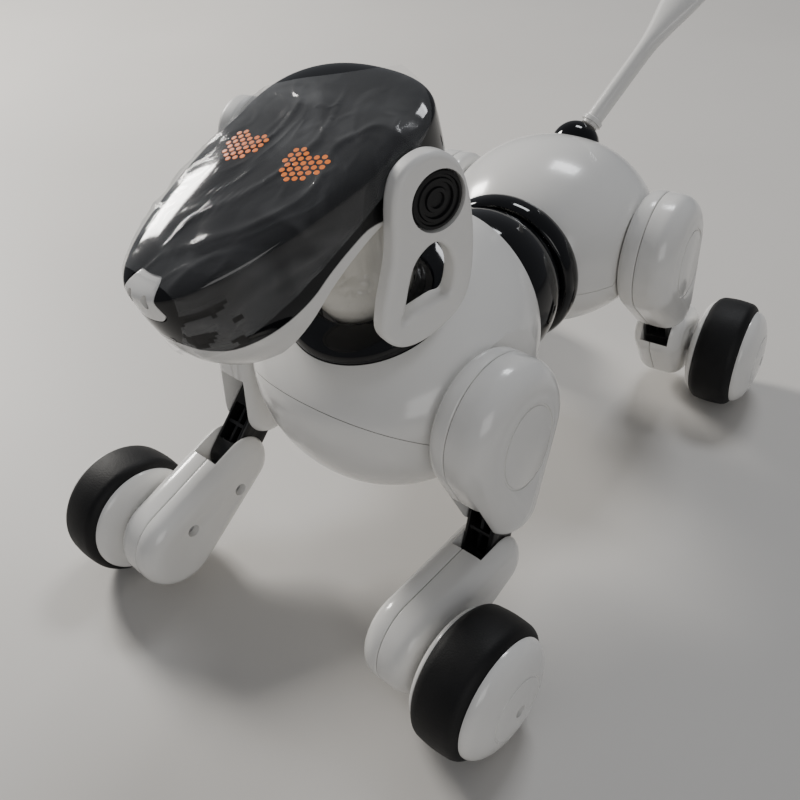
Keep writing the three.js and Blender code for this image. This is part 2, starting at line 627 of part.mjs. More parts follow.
piece('tail', cut(tailBlade(), ball(TAIL_BALL_RADIUS + 2 * GAP, 0, 0, 14)), WHITE(), tailFrame);

// ---------------------------------------------------------------- neck
const neckLow = {
  y: NECK.y - NECK_LIFT * Math.sin(rad(NECK.tilt)),
  z: NECK.z + NECK_LIFT * Math.cos(rad(NECK.tilt)),
};
const neckRun = Math.hypot(NOD.y - neckLow.y, NOD.z - neckLow.z);
const neckLean = Math.atan2(neckLow.y - NOD.y, NOD.z - neckLow.z);
const neckFrame = frameAt(dog, 0, neckLow.y, neckLow.z);
neckFrame.rotation.x = neckLean;
piece('neck_pod', turned([
  [0, -NECK_RADIUS],
  ...arc(NECK_RADIUS, 0, 0, -72, 35, 6),
  ...arc(NOD_RADIUS, 0, neckRun, -32, 72, 6),
  [0, neckRun + NOD_RADIUS],
]).rotateX(Math.PI / 2), WHITE(), neckFrame);

// ---------------------------------------------------------------- head
// A rounded box by powers of sines, in its own frame: -Y is the nose, +Z the crown.
const power = (value, exponent) => Math.sign(value) * Math.abs(value) ** exponent;
function headForm(inset = 0, across = 24, down = 16) {
  const form = new THREE.SphereGeometry(1, across, down).rotateX(Math.PI / 2);
  const place = form.attributes.position;
  for (let i = 0; i < place.count; i += 1) {
    const [x, y, z] = [place.getX(i), place.getY(i), place.getZ(i)];
    const belt = Math.hypot(x, y);
    const ring = power(belt, HEAD_BELT);
    const along = belt > 1e-6 ? power(y / belt, HEAD_PLAN) : 0;
    const aside = belt > 1e-6 ? power(x / belt, HEAD_PLAN) : 0;
    const reach = (y < 0 ? HEAD_FRONT : HEAD_BACK) - inset;
    const depth = (z < 0 ? HEAD_DEPTH : HEAD_CROWN) - inset;
    const headY = reach * ring * along;
    const halfWidth = (HEAD_HALF_WIDTH - inset) * (1 + HEAD_TAPER * headY);
    place.setXYZ(i, halfWidth * ring * aside, headY, depth * power(z, HEAD_BELT));
  }
  return form;
}

const head = frameAt(dog, 0, HEAD.y, HEAD.z);
head.rotation.x = rad(HEAD.pitch);
// Everything above a line of points (y, z) in the head's side view, lifted by an amount.
const above = (line, lift = 0) => {
  const points = line.map(([y, z]) => new THREE.Vector2(y, z + lift));
  const shape = new THREE.Shape([
    ...points,
    new THREE.Vector2(line.at(-1)[0], FAR),
    new THREE.Vector2(line[0][0], FAR),
  ]);
  return slabX(shape, -FAR, FAR);
};
const visorLine = [[-120, -13], [-74.5, -15], [-71, -19.6], [-65, -23.6], [-57, -24.6], [-49, -23.6],
  [-41, -21], [-33, -16.8], [-25, -13.8], [-17, -12.3], [-8, -HEAD_UNDERSIDE - 1],
  [120, -HEAD_UNDERSIDE - 1]];
const jawLine = [[-120, -JAW_BOTTOM], [-52, -JAW_BOTTOM], [-43, -30], [-33, -21.5], [-20, -16],
  [-10, -HEAD_UNDERSIDE], [120, -HEAD_UNDERSIDE]];
const earShaft = (side, radius) => rodX(radius, side > 0 ? -EAR_SHAFT : 0, side > 0 ? 0 : EAR_SHAFT, 16)
  .rotateZ(-side * rad(EAR_TOE))
  .rotateX(-rad(HEAD.pitch))
  .translate(side * EAR_HUB.x, EAR_HUB.y, EAR_HUB.z);
const headShell = cut(headForm(), headForm(VISOR_WALL), earShaft(1, EAR_SHAFT_RADIUS + GAP),
  earShaft(-1, EAR_SHAFT_RADIUS + GAP));
const noseBlock = (clear) => boxAt(
  -NOSE.halfWidth - clear, NOSE.halfWidth + clear, -FAR, NOSE.back,
  NOSE.bottom - clear, NOSE.top + clear,
);
const lidded = common(headShell, above(jawLine));
piece('visor', cut(common(lidded, above(visorLine)), noseBlock(GAP)), BLACK(), head);
piece('face_frame', cut(lidded, above(visorLine, -GAP)), WHITE(), head);
const nostril = (side) => rodX(NOSE.nostril, 0, 40, 12).rotateZ(-Math.PI / 2)
  .translate(side * NOSE.spacing, -HEAD_FRONT + 20, (NOSE.top + NOSE.bottom) / 2);
piece('nose_plate', cut(common(headShell, noseBlock(0)), nostril(-1), nostril(1)), WHITE(), head);
const nod = new THREE.Vector2(NOD.y - HEAD.y, NOD.z - HEAD.z)
  .rotateAround(new THREE.Vector2(), -rad(HEAD.pitch));
const socket = cut(
  ball(NOD_RADIUS + RUN + WALL, nod.x, nod.y, 18),
  boxAt(-FAR, FAR, -FAR, FAR, -FAR, nod.y + SOCKET_LIP),
);
const basePlate = cut(
  common(headForm(VISOR_WALL + 2 * GAP, 16, 12), above(jawLine)),
  above(jawLine, BASE_THICKNESS),
);
piece('head_base', cut(
  join(basePlate, socket),
  ball(NOD_RADIUS + RUN + GAP, nod.x, nod.y, 18),
  earShaft(1, EAR_SHAFT_RADIUS + GAP),
  earShaft(-1, EAR_SHAFT_RADIUS + GAP),
), WHITE(), head);
piece('eye_panel', common(
  cut(headForm(VISOR_WALL + GAP, 16, 12), headForm(VISOR_WALL + GAP + EYES.thickness, 16, 12)),
  boxAt(-EYES.halfWidth, EYES.halfWidth, EYES.from, EYES.to, -2, FAR),
), BOARD(), head);

// An ear's plate: outline and opening as smooth closed curves about the hub, (back, up).
const smooth = (points, count) => new THREE.CatmullRomCurve3(
  points.map(([y, z]) => new THREE.Vector3(y, z, 0)), true, 'centripetal',
).getPoints(count).slice(0, -1).map(({ x, y }) => new THREE.Vector2(x, y));
function earPlate() {
  const outline = new THREE.Shape(smooth([[-1, 14.6], [-10.5, 12], [-14.8, 4], [-16.3, -13], [-20.5, -29],
    [-20.8, -38], [-14, -44.4], [-3, -44], [8.7, -37], [12.8, -24], [12.4, -5], [8, 9]], 30));
  const opening = new THREE.Shape(smooth([[-2, -13], [-8.7, -17.9], [-12.5, -29.9], [-14.2, -35.4],
    [-9.4, -33.3], [-1, -31.5], [3.6, -31], [5.4, -23], [3, -16]], 20));
  const plate = new THREE.ExtrudeGeometry(outline, {
    depth: EAR_THICKNESS - 2 * EAR_EDGE,
    bevelThickness: EAR_EDGE,
    bevelSize: EAR_EDGE,
    bevelOffset: -EAR_EDGE,
    bevelSegments: 1,
  }).rotateX(Math.PI / 2).rotateZ(Math.PI / 2).translate(EAR_EDGE - EAR_THICKNESS / 2, 0, 0);
  return cut(plate, slabX(opening, -EAR_THICKNESS, EAR_THICKNESS),
    rodX(EAR_HUB_RADIUS + RUN, -EAR_THICKNESS, EAR_THICKNESS, 24));
}
[['left', 1], ['right', -1]].forEach(([name, side]) => {
  const half = new THREE.Group();
  half.scale.x = side;
  head.add(half);
  const ear = frameAt(half, EAR_HUB.x, EAR_HUB.y, EAR_HUB.z);
  ear.rotation.set(-rad(HEAD.pitch), 0, -rad(EAR_TOE));
  piece(`ear_${name}`, earPlate(), WHITE(), ear);
  piece(`ear_hub_${name}`, join(
    rodX(EAR_HUB_RADIUS, -EAR_THICKNESS / 2, EAR_THICKNESS / 2 - EAR_HUB_RECESS, 20),
    rodX(EAR_SHAFT_RADIUS, -EAR_SHAFT, 0, 16),
  ), BLACK(), ear);
});

// ---------------------------------------------------------------- legs
const frontLeg = {
  hip: HIP_FRONT,
  legPlane: LEG_PLANE,
  linkBend: LINK_BEND,
  shinLength: SHIN_LENGTH,
  fold: 1,
};
const rearLeg = {
  hip: HIP_REAR,
  legPlane: REAR_LEG_PLANE,
  linkBend: REAR_LINK_BEND,
  shinLength: REAR_SHIN_LENGTH,
  fold: -1,
};
addLeg(dog, 'front_left', frontLeg, WHEEL_FRONT_LEFT_Y, 1);
addLeg(dog, 'front_right', frontLeg, WHEEL_FRONT_RIGHT_Y, -1);
addLeg(rear, 'rear_left', rearLeg, WHEEL_REAR_Y, 1);
addLeg(rear, 'rear_right', rearLeg, WHEEL_REAR_Y, -1);

// ---------------------------------------------------------------- origin at the box's bottom centre
const robot = new THREE.Group();
robot.add(dog);
robot.updateMatrixWorld(true);
const bounds = new THREE.Box3().setFromObject(robot, true);
const centre = bounds.getCenter(new THREE.Vector3());
dog.position.set(-centre.x, -centre.y, -bounds.min.z);
robot.updateMatrixWorld(true);

export default robot;
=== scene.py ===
"""Looks of the robot dog toy: smooth shells, wheels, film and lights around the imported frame."""
import json
import math

import bmesh
import bpy
from mathutils import Matrix, Vector, noise
from mathutils.bvhtree import BVHTree


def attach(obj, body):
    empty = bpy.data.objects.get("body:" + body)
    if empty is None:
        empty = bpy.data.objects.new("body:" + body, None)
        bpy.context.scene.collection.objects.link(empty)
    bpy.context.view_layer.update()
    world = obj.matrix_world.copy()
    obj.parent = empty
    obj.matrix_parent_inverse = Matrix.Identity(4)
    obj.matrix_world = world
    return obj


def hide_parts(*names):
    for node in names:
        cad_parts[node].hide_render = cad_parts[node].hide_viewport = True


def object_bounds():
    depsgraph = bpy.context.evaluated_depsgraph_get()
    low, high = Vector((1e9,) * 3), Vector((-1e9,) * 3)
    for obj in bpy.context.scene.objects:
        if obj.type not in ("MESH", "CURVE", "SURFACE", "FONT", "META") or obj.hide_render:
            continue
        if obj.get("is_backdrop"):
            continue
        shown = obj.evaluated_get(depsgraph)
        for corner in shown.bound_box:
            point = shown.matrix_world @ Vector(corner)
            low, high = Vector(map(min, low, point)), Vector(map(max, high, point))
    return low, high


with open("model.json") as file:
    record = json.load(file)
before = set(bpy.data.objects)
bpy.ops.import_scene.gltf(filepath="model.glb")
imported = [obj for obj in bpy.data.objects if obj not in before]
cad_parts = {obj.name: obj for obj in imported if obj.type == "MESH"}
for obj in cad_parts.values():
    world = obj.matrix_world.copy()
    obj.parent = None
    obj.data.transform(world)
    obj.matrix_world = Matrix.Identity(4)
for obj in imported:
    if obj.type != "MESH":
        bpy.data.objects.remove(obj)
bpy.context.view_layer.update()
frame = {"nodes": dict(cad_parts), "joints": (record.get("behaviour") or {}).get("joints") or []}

MM = 0.001

JOINTS = {joint["name"]: joint for joint in frame["joints"]}
WAIST_Y, WAIST_Z = 107.8, 97                        # design place of the waist joint, millimetres
SHIFT = Vector(JOINTS["waist_turn"]["pos_m"]) / MM - Vector((0, WAIST_Y, WAIST_Z))
DESIGN = Matrix.Translation(SHIFT * MM) @ Matrix.Scale(MM, 4)


# ------------------------------------------------------------------ mesh helpers
def build(name, points, faces):
    mesh = bpy.data.meshes.new(name)
    mesh.from_pydata([tuple(p) for p in points], [], faces)
    obj = bpy.data.objects.new(name, mesh)
    bpy.context.scene.collection.objects.link(obj)
    return obj


def repair(obj):
    """Merges doubles and turns every face outwards."""
    work = bmesh.new()
    work.from_mesh(obj.data)
    bmesh.ops.remove_doubles(work, verts=work.verts, dist=1e-4)
    bmesh.ops.recalc_face_normals(work, faces=work.faces)
    work.to_mesh(obj.data)
    work.free()
    return obj


def loft(name, rings, wrap=False):
    """Closed rings of equal length joined in order; open ends are capped, or the last meets the first."""
    count = len(rings[0])
    points = [p for ring in rings for p in ring]
    faces = []
    last = len(rings) if wrap else len(rings) - 1
    for i in range(last):
        a = i * count
        b = (i + 1) % len(rings) * count
        for k in range(count):
            n = (k + 1) % count
            faces.append((a + k, a + n, b + n, b + k))
    if not wrap:
        faces.append(tuple(range(count)))
        faces.append(tuple(range((len(rings) - 1) * count, len(rings) * count)))
    return repair(build(name, points, faces))


def round_ring(radius, at, axis, count=96):
    """A circle about the local X, Y or Z axis at a height along it."""
    ring = []
    for k in range(count):
        angle = 2 * math.pi * k / count
        c, s = radius * math.cos(angle), radius * math.sin(angle)
        ring.append({"X": (at, c, s), "Y": (s, at, c), "Z": (c, s, at)}[axis])
    return ring


def revolve(name, profile, axis="X", count=96, closed=False):
    """Profile of (radius, height) pairs turned about an axis; closed profiles make rings."""
    return loft(name, [round_ring(max(r, 0.02), h, axis, count) for r, h in profile], wrap=closed)


def arc(radius, middle, height, start, end, steps):
    """Points of a circular arc between two angles in degrees."""
    out = []
    for i in range(steps + 1):
        angle = math.radians(start + (end - start) * i / steps)
        out.append((middle + radius * math.cos(angle), height + radius * math.sin(angle)))
    return out


def block(name, x0, x1, y0, y1, z0, z1):
    rings = [[(x0, y0, z), (x1, y0, z), (x1, y1, z), (x0, y1, z)] for z in (z0, z1)]
    return loft(name, rings)


def prism(name, outline, reach):
    """A side view outline (y, z) carried across x from -reach to reach."""
    return loft(name, [[(x, y, z) for y, z in outline] for x in (-reach, reach)])


def tube(name, path, radius, closed=False, sides=10):
    """A round tube along a list of points."""
    rings = []
    total = len(path)
    for i, point in enumerate(path):
        before = Vector(path[i - 1] if closed or i else path[0])
        after = Vector(path[(i + 1) % total] if closed or i + 1 < total else path[-1])
        along = (after - before).normalized()
        side = along.orthogonal().normalized() if not rings else (side - side.dot(along) * along).normalized()
        up = along.cross(side)
        rings.append([Vector(point) + radius * (math.cos(a) * side + math.sin(a) * up)
                      for a in (2 * math.pi * k / sides for k in range(sides))])
    return loft(name, rings, wrap=closed)


def spline(points, steps=8, closed=False):
    """Points of a Catmull-Rom curve through a list of points."""
    out = []
    total = len(points)
    spans = total if closed else total - 1
    for i in range(spans):
        p = [Vector(points[(i + k) % total] if closed else points[min(max(i + k, 0), total - 1)])
             for k in (-1, 0, 1, 2)]
        for k in range(steps):
            t = k / steps
            out.append(0.5 * (2 * p[1] + (p[2] - p[0]) * t + (2 * p[0] - 5 * p[1] + 4 * p[2] - p[3]) * t * t
                              + (3 * p[1] - p[0] - 3 * p[2] + p[3]) * t ** 3))
    if not closed:
        out.append(Vector(points[-1]))
    return out


def baked(obj):
    """Applies an object's modifiers to its mesh."""
    graph = bpy.context.evaluated_depsgraph_get()
    mesh = bpy.data.meshes.new_from_object(obj.evaluated_get(graph))
    obj.modifiers.clear()
    obj.data = mesh
    return obj


def carve(obj, operation, *tools):
    """Cuts, joins or keeps what is common with closed tools, which are used up."""
    for tool in tools:
        step = obj.modifiers.new("cut", "BOOLEAN")
        step.operation = operation
        step.solver = "MANIFOLD"
        step.object = tool
    baked(obj)
    for tool in tools:
        bpy.data.objects.remove(tool)
    return obj


def moved(obj, matrix):
    obj.data.transform(matrix)
    return obj


def twin(obj, name):
    copy = obj.copy()
    copy.data = obj.data.copy()
    copy.name = name
    bpy.context.scene.collection.objects.link(copy)
    return copy


def finish_piece(obj, name, body, look, stands_for=(), matrix=DESIGN, bevel=0.0, angle=32):
    """Puts a piece in the row frame with its material, smooth shading and body, and hides the parts it stands
    for.
    """
    obj.name = name
    obj.data.name = name
    obj.data.transform(matrix)
    if matrix.determinant() < 0:
        obj.data.flip_normals()
    if bevel:
        edge = obj.modifiers.new("edge", "BEVEL")
        edge.width = bevel * MM
        edge.segments = 2
        edge.limit_method = "ANGLE"
        edge.angle_limit = math.radians(40)
        baked(obj)
    obj.data.materials.clear()
    obj.data.materials.append(look)
    obj.data.shade_smooth()
    obj.data.set_sharp_from_angle(angle=math.radians(angle))
    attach(obj, body)
    if stands_for:
        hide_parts(*stands_for)
    return obj


# ------------------------------------------------------------------ materials
def material(name, color, roughness, spread=0.05, bump=0.0, scale=60.0, tint=0.03, coat=0.0, metal=0.0,
             grain=900.0, specular=0.5):
    """A moulded surface: slow colour and gloss changes and a fine skin texture."""
    made = bpy.data.materials.new(name)
    made.use_nodes = True
    nodes, links = made.node_tree.nodes, made.node_tree.links
    shader = nodes["Principled BSDF"]
    shader.inputs["Metallic"].default_value = metal
    shader.inputs["Specular IOR Level"].default_value = specular
    shader.inputs["Coat Weight"].default_value = coat
    shader.inputs["Coat Roughness"].default_value = 0.06
    place = nodes.new("ShaderNodeTexCoord")
    slow = nodes.new("ShaderNodeTexNoise")
    slow.inputs["Scale"].default_value = scale
    slow.inputs["Detail"].default_value = 6
    links.new(place.outputs["Object"], slow.inputs["Vector"])
    shade = nodes.new("ShaderNodeValToRGB")
    shade.color_ramp.elements[0].position = 0.3
    shade.color_ramp.elements[1].position = 0.7
    shade.color_ramp.elements[0].color = (*[max(0, c * (1 - tint)) for c in color], 1)
    shade.color_ramp.elements[1].color = (*[min(1, c * (1 + tint)) for c in color], 1)
    links.new(slow.outputs["Fac"], shade.inputs["Fac"])
    links.new(shade.outputs["Color"], shader.inputs["Base Color"])
    gloss = nodes.new("ShaderNodeMapRange")
    gloss.inputs["To Min"].default_value = max(0.02, roughness - spread)
    gloss.inputs["To Max"].default_value = roughness + spread
    links.new(slow.outputs["Fac"], gloss.inputs["Value"])
    links.new(gloss.outputs["Result"], shader.inputs["Roughness"])
    if bump:
        fine = nodes.new("ShaderNodeTexNoise")
        fine.inputs["Scale"].default_value = grain
        fine.inputs["Detail"].default_value = 3
        links.new(place.outputs["Object"], fine.inputs["Vector"])
        relief = nodes.new("ShaderNodeBump")
        relief.inputs["Strength"].default_value = bump
        relief.inputs["Distance"].default_value = 0.0002
        links.new(fine.outputs["Fac"], relief.inputs["Height"])
        links.new(relief.outputs["Normal"], shader.inputs["Normal"])
    return made


WHITE = material("white_abs", (0.80, 0.79, 0.765), 0.2, 0.05, bump=0.05, scale=35, tint=0.02, coat=0.25)
BLACK = material("black_gloss", (0.003, 0.0032, 0.004), 0.07, 0.03, bump=0.03, scale=70, tint=0.3,
                 specular=0.42)
SATIN = material("satin_black", (0.006, 0.006, 0.0065), 0.34, 0.08, bump=0.25, scale=120, tint=0.25,
                 specular=0.35)
RUBBER = material("tyre_rubber", (0.0045, 0.0045, 0.005), 0.58, 0.12, bump=0.5, scale=90, tint=0.3,
                  grain=1600, specular=0.3)
STEEL = material("screw_steel", (0.42, 0.42, 0.43), 0.34, 0.1, bump=0.2, scale=600, tint=0.1, metal=1.0)
BOARD = material("board_mask", (0.02, 0.12, 0.05), 0.4, 0.1, bump=0.2, scale=300, tint=0.3)
WRAP = material("cell_wrap", (0.03, 0.12, 0.42), 0.35, 0.08, bump=0.1, scale=200, tint=0.15)
# Near-black matte for the cups inside the nostrils: painted shade inside the holes.
NOSTRIL_SHADE = material("painted_recess_shade", (0.01, 0.01, 0.011), 0.7, 0.1, bump=0.2, scale=200, tint=0.2)


def glow_material():
    """Orange lamp dots, a little uneven from dot to dot."""
    made = bpy.data.materials.new("led_glow")
    made.use_nodes = True
    nodes, links = made.node_tree.nodes, made.node_tree.links
    shader = nodes["Principled BSDF"]
    place = nodes.new("ShaderNodeTexCoord")
    patch = nodes.new("ShaderNodeTexNoise")
    patch.inputs["Scale"].default_value = 260
    shade = nodes.new("ShaderNodeValToRGB")
    shade.color_ramp.elements[0].color = (1.0, 0.17, 0.0, 1)
    shade.color_ramp.elements[1].color = (1.0, 0.26, 0.0, 1)
    links.new(place.outputs["Object"], patch.inputs["Vector"])
    links.new(patch.outputs["Fac"], shade.inputs["Fac"])
    links.new(shade.outputs["Color"], shader.inputs["Emission Color"])
    shader.inputs["Base Color"].default_value = (0.12, 0.02, 0, 1)
    shader.inputs["Emission Strength"].default_value = 0.8
    shader.inputs["Roughness"].default_value = 0.3
    return made


def film_material():
    """Thin clear wrap: mostly see-through, with sharp reflections on its folds and a faint haze."""
    made = bpy.data.materials.new("clear_wrap")
    made.use_nodes = True
    made.surface_render_method = "BLENDED"
    nodes, links = made.node_tree.nodes, made.node_tree.links
    nodes.remove(nodes["Principled BSDF"])
    output = nodes["Material Output"]
    clear = nodes.new("ShaderNodeBsdfTransparent")
    gloss = nodes.new("ShaderNodeBsdfPrincipled")
    gloss.inputs["Base Color"].default_value = (0.5, 0.51, 0.52, 1)
    gloss.inputs["Roughness"].default_value = 0.12
    gloss.inputs["Specular IOR Level"].default_value = 0.8
    edge = nodes.new("ShaderNodeLayerWeight")
    edge.inputs["Blend"].default_value = 0.28
    place = nodes.new("ShaderNodeTexCoord")
    wrinkles = nodes.new("ShaderNodeTexNoise")
    wrinkles.inputs["Scale"].default_value = 42
    wrinkles.inputs["Detail"].default_value = 5
    wrinkles.inputs["Distortion"].default_value = 1.2
    haze = nodes.new("ShaderNodeMapRange")
    haze.inputs["From Min"].default_value = 0.45
    haze.inputs["From Max"].default_value = 0.75
    haze.inputs["To Min"].default_value = 0.03
    haze.inputs["To Max"].default_value = 0.14
    total = nodes.new("ShaderNodeMath")
    total.operation = "ADD"
    total.use_clamp = True
    scaled = nodes.new("ShaderNodeMath")
    scaled.operation = "MULTIPLY"
    scaled.inputs[1].default_value = 0.35
    mix = nodes.new("ShaderNodeMixShader")
    relief = nodes.new("ShaderNodeBump")
    relief.inputs["Strength"].default_value = 0.5
    relief.inputs["Distance"].default_value = 0.0006
    links.new(place.outputs["Object"], wrinkles.inputs["Vector"])
    links.new(wrinkles.outputs["Fac"], haze.inputs["Value"])
    links.new(wrinkles.outputs["Fac"], relief.inputs["Height"])
    links.new(relief.outputs["Normal"], gloss.inputs["Normal"])
    links.new(edge.outputs["Facing"], scaled.inputs[0])
    links.new(scaled.outputs[0], total.inputs[0])
    links.new(haze.outputs["Result"], total.inputs[1])
    links.new(total.outputs[0], mix.inputs["Fac"])
    links.new(clear.outputs[0], mix.inputs[1])
    links.new(gloss.outputs[0], mix.inputs[2])
    links.new(mix.outputs[0], output.inputs["Surface"])
    return made


# The neck is white plastic under a creased wrap; its darker, beige colour is painted shade.
SHADED_NECK_SKIN = material("wrapped_neck_shaded", (0.66, 0.64, 0.585), 0.3, 0.12, bump=0.3, scale=90, tint=0.06, coat=0.5)
SATIN_WHITE = material("satin_white", (0.80, 0.79, 0.765), 0.42, 0.06, bump=0.12, scale=60, tint=0.02)
GLOW = glow_material()
FILM = film_material()

# ------------------------------------------------------------------ design sizes, millimetres
GAP = 0.3
RUN = 0.6
WALL = 2.4
FAR = 300
WHEEL_RADIUS, TYRE_WIDTH, TYRE_SHOULDER, RIM_RADIUS = 26, 19.7, 4.5, 22.6
DOME, INNER_DOME, AXLE = 8, 5.4, 4
THIGH_TOP, THIGH_END, THIGH_LENGTH = 26, 13, 34
THIGH_IN, THIGH_OUT, THIGH_SEAM = 9.5, 14, -1.5
LINK_LENGTH, LINK_RADIUS, LINK_WIDTH, SLOT_HALF = 27, 7, 12.4, 6.6
SHIN_TOP, SHIN_FOOT, SHIN_HALF, SHIN_EDGE, SHIN_SEAM, SHIN_NOTCH = 12, 18, 11.5, 7.5, -2, 7.8
BOSS = 14
PIN, PIN_BORE = 2.6, 2.9
SCREW_SINK = 2.6                                    # radius of the round recess over a shin screw


# ------------------------------------------------------------------ legs
def tapered(top, end, distance, inset, count=64):
    """Outline of two circles and their tangents, as (y, z), shrunk by an inset."""
    r0, r1 = max(top - inset, 0.3), max(end - inset, 0.3)
    lean = math.asin((r0 - r1) / distance)
    ring = []
    for k in range(count):
        a = -lean + (math.pi + 2 * lean) * k / (count - 1)
        ring.append((r0 * math.cos(a), r0 * math.sin(a)))
    for k in range(count):
        a = math.pi + lean + (math.pi - 2 * lean) * k / (count - 1)
        ring.append((r1 * math.cos(a), r1 * math.sin(a) - distance))
    return ring


def pod(name, top, end, distance, stations):
    """A plate across x whose sections are given as (x, inset)."""
    return loft(name, [[(x, y, z) for y, z in tapered(top, end, distance, inset)] for x, inset in stations])


def rim(x, edge, direction, steps=9, crown=0.0, reach=0.0):
    """Stations of a rounded rim that ends at x, from its full section outwards, with a slight crown."""
    out = []
    for i in range(steps + 1):
        a = math.pi / 2 * i / steps
        out.append((x - direction * edge * (1 - math.sin(a)), edge * (1 - math.cos(a))))
    if crown:
        for i in (0.35, 0.7, 1.0):
            out.append((x + direction * crown * math.sin(i * math.pi / 2), edge + reach * i))
    return out


def rod(name, radius, x0, x1, y=0.0, z=0.0, count=48):
    return moved(revolve(name, [(radius, x0), (radius, x1)], "X", count), Matrix.Translation((0, y, z)))


def screw(name, at, outward, radius, matrix, body):
    """A cross-head screw sunk in its recess."""
    profile = [(0, -1.2), (radius, -1.2), (radius, -0.35), (radius * 0.8, 0.05), (0, 0.2)]
    head = revolve(name, profile, "X", 28)
    cross = block("slot_a", -0.5, 0.6, -radius * 0.55, radius * 0.55, -0.22, 0.22)
    other = block("slot_b", -0.5, 0.6, -0.22, 0.22, -radius * 0.55, radius * 0.55)
    carve(head, "DIFFERENCE", cross, other)
    turn = Vector((1, 0, 0)).rotation_difference(Vector(outward)).to_matrix().to_4x4()
    return finish_piece(head, name, body, STEEL, matrix=matrix @ Matrix.Translation(at) @ turn)


def thigh(leg, matrix):
    body = f"{leg}_thigh"
    outer = pod("outer", THIGH_TOP, THIGH_END, THIGH_LENGTH,
                [(THIGH_SEAM + GAP, 0.35), (THIGH_SEAM + GAP + 0.35, 0), (1.0, 0)]
                + rim(THIGH_OUT - 0.6, 9.6, 1, 12, crown=0.6, reach=2.6))
    slot_box = block("slot", -SLOT_HALF, SLOT_HALF, -FAR, LINK_RADIUS + 1,
                     -FAR, LINK_RADIUS + 4 - THIGH_LENGTH)
    groove = tube("groove", [(THIGH_OUT - 0.1, 13.5 * math.cos(a), 16.5 * math.sin(a) - 3)
                             for a in (2 * math.pi * k / 96 for k in range(96))], 0.55, closed=True, sides=8)
    carve(outer, "DIFFERENCE", twin(slot_box, "slot2"), groove)
    finish_piece(outer, f"thigh_cover_{leg}", body, WHITE, [f"thigh_outer_{leg}"],
                 matrix, 0.25)
    inner = pod("inner", THIGH_TOP, THIGH_END, THIGH_LENGTH,
                rim(-THIGH_IN, 5, -1, 8)[::-1] + [(THIGH_SEAM - 0.35, 0), (THIGH_SEAM, 0.35)])
    carve(inner, "DIFFERENCE", slot_box)
    carve(inner, "UNION", rod("boss", BOSS, -THIGH_IN - 5, -THIGH_IN + 1),
          rod("pin", PIN, -SLOT_HALF - 1, SLOT_HALF + 2, 0, -THIGH_LENGTH, 24))
    finish_piece(inner, f"thigh_back_{leg}", body, WHITE, [f"thigh_inner_{leg}"], matrix, 0.25)


def knee_link(leg, matrix):
    bar = pod("bar", LINK_RADIUS, LINK_RADIUS - 0.02, LINK_LENGTH,
              rim(-LINK_WIDTH / 2, 1.0, -1, 4)[::-1] + rim(LINK_WIDTH / 2, 1.0, 1, 4))
    half = LINK_WIDTH / 2 - 1.6
    trough = block("trough", -half, half, -FAR, -1.0, -LINK_LENGTH + 5.5, -5.5)
    rear_trough = block("trough2", -half, half, 1.6, FAR, -LINK_LENGTH + 5.5, -5.5)
    carve(bar, "DIFFERENCE", trough, rear_trough,
          rod("bore", PIN_BORE, -FAR, FAR, 0, 0, 24), rod("bore2", PIN_BORE, -FAR, FAR, 0, -LINK_LENGTH, 24))
    rib = block("rib", -half - 0.5, half + 0.5, -LINK_RADIUS + 0.8, LINK_RADIUS - 0.8,
                -LINK_LENGTH / 2 - 0.7, -LINK_LENGTH / 2 + 0.7)
    web = block("web", -0.7, 0.7, -LINK_RADIUS + 1.6, LINK_RADIUS - 1.6, -LINK_LENGTH + 5.6, -5.6)
    carve(bar, "UNION", rib, web)
    finish_piece(bar, f"link_{leg}", f"{leg}_thigh", SATIN, [f"knee_link_{leg}"], matrix, 0.2)


def shin(leg, length, matrix):
    body = f"{leg}_shin"
    slot_box = block("slot", -SLOT_HALF, SLOT_HALF, -FAR, LINK_RADIUS + RUN, -SHIN_NOTCH, FAR)
    carve(slot_box, "UNION", rod("round", LINK_RADIUS + RUN, -SLOT_HALF, SLOT_HALF, 0, 0, 64))
    outer = pod("outer", SHIN_TOP, SHIN_FOOT, length,
                [(SHIN_SEAM + GAP, 0.3), (SHIN_SEAM + GAP + 0.3, 0)] + rim(SHIN_HALF, SHIN_EDGE, 1, 10))
    carve(outer, "DIFFERENCE", twin(slot_box, "slot2"))
    carve(outer, "UNION", rod("axle", AXLE, SHIN_HALF - 1, 25.8, 0, -length))
    finish_piece(outer, f"shin_cover_{leg}", body, WHITE, [f"shin_outer_{leg}"], matrix, 0.25)
    inner = pod("inner", SHIN_TOP, SHIN_FOOT, length,
                rim(-SHIN_HALF, SHIN_EDGE, -1, 10)[::-1] + [(SHIN_SEAM - 0.3, 0), (SHIN_SEAM, 0.3)])
    holes = [(-4.5, 7.5 - length)] + ([(3.5, -9.5)] if length > 30 else [])
    tools = [rod("sink", SCREW_SINK, -SHIN_HALF - 2, -SHIN_HALF + 3.2, y, z, 32) for y, z in holes]
    carve(inner, "DIFFERENCE", slot_box, *tools)
    carve(inner, "UNION", rod("pin", PIN, -SLOT_HALF - 1, SLOT_HALF + 1, 0, 0, 24))
    finish_piece(inner, f"shin_back_{leg}", body, WHITE, [f"shin_inner_{leg}"], matrix, 0.25)
    for index, (y, z) in enumerate(holes):
        screw(f"shin_screw_{index}_{leg}", (-SHIN_HALF + 2.4, y, z), (-1, 0, 0), 2.1, matrix, body)


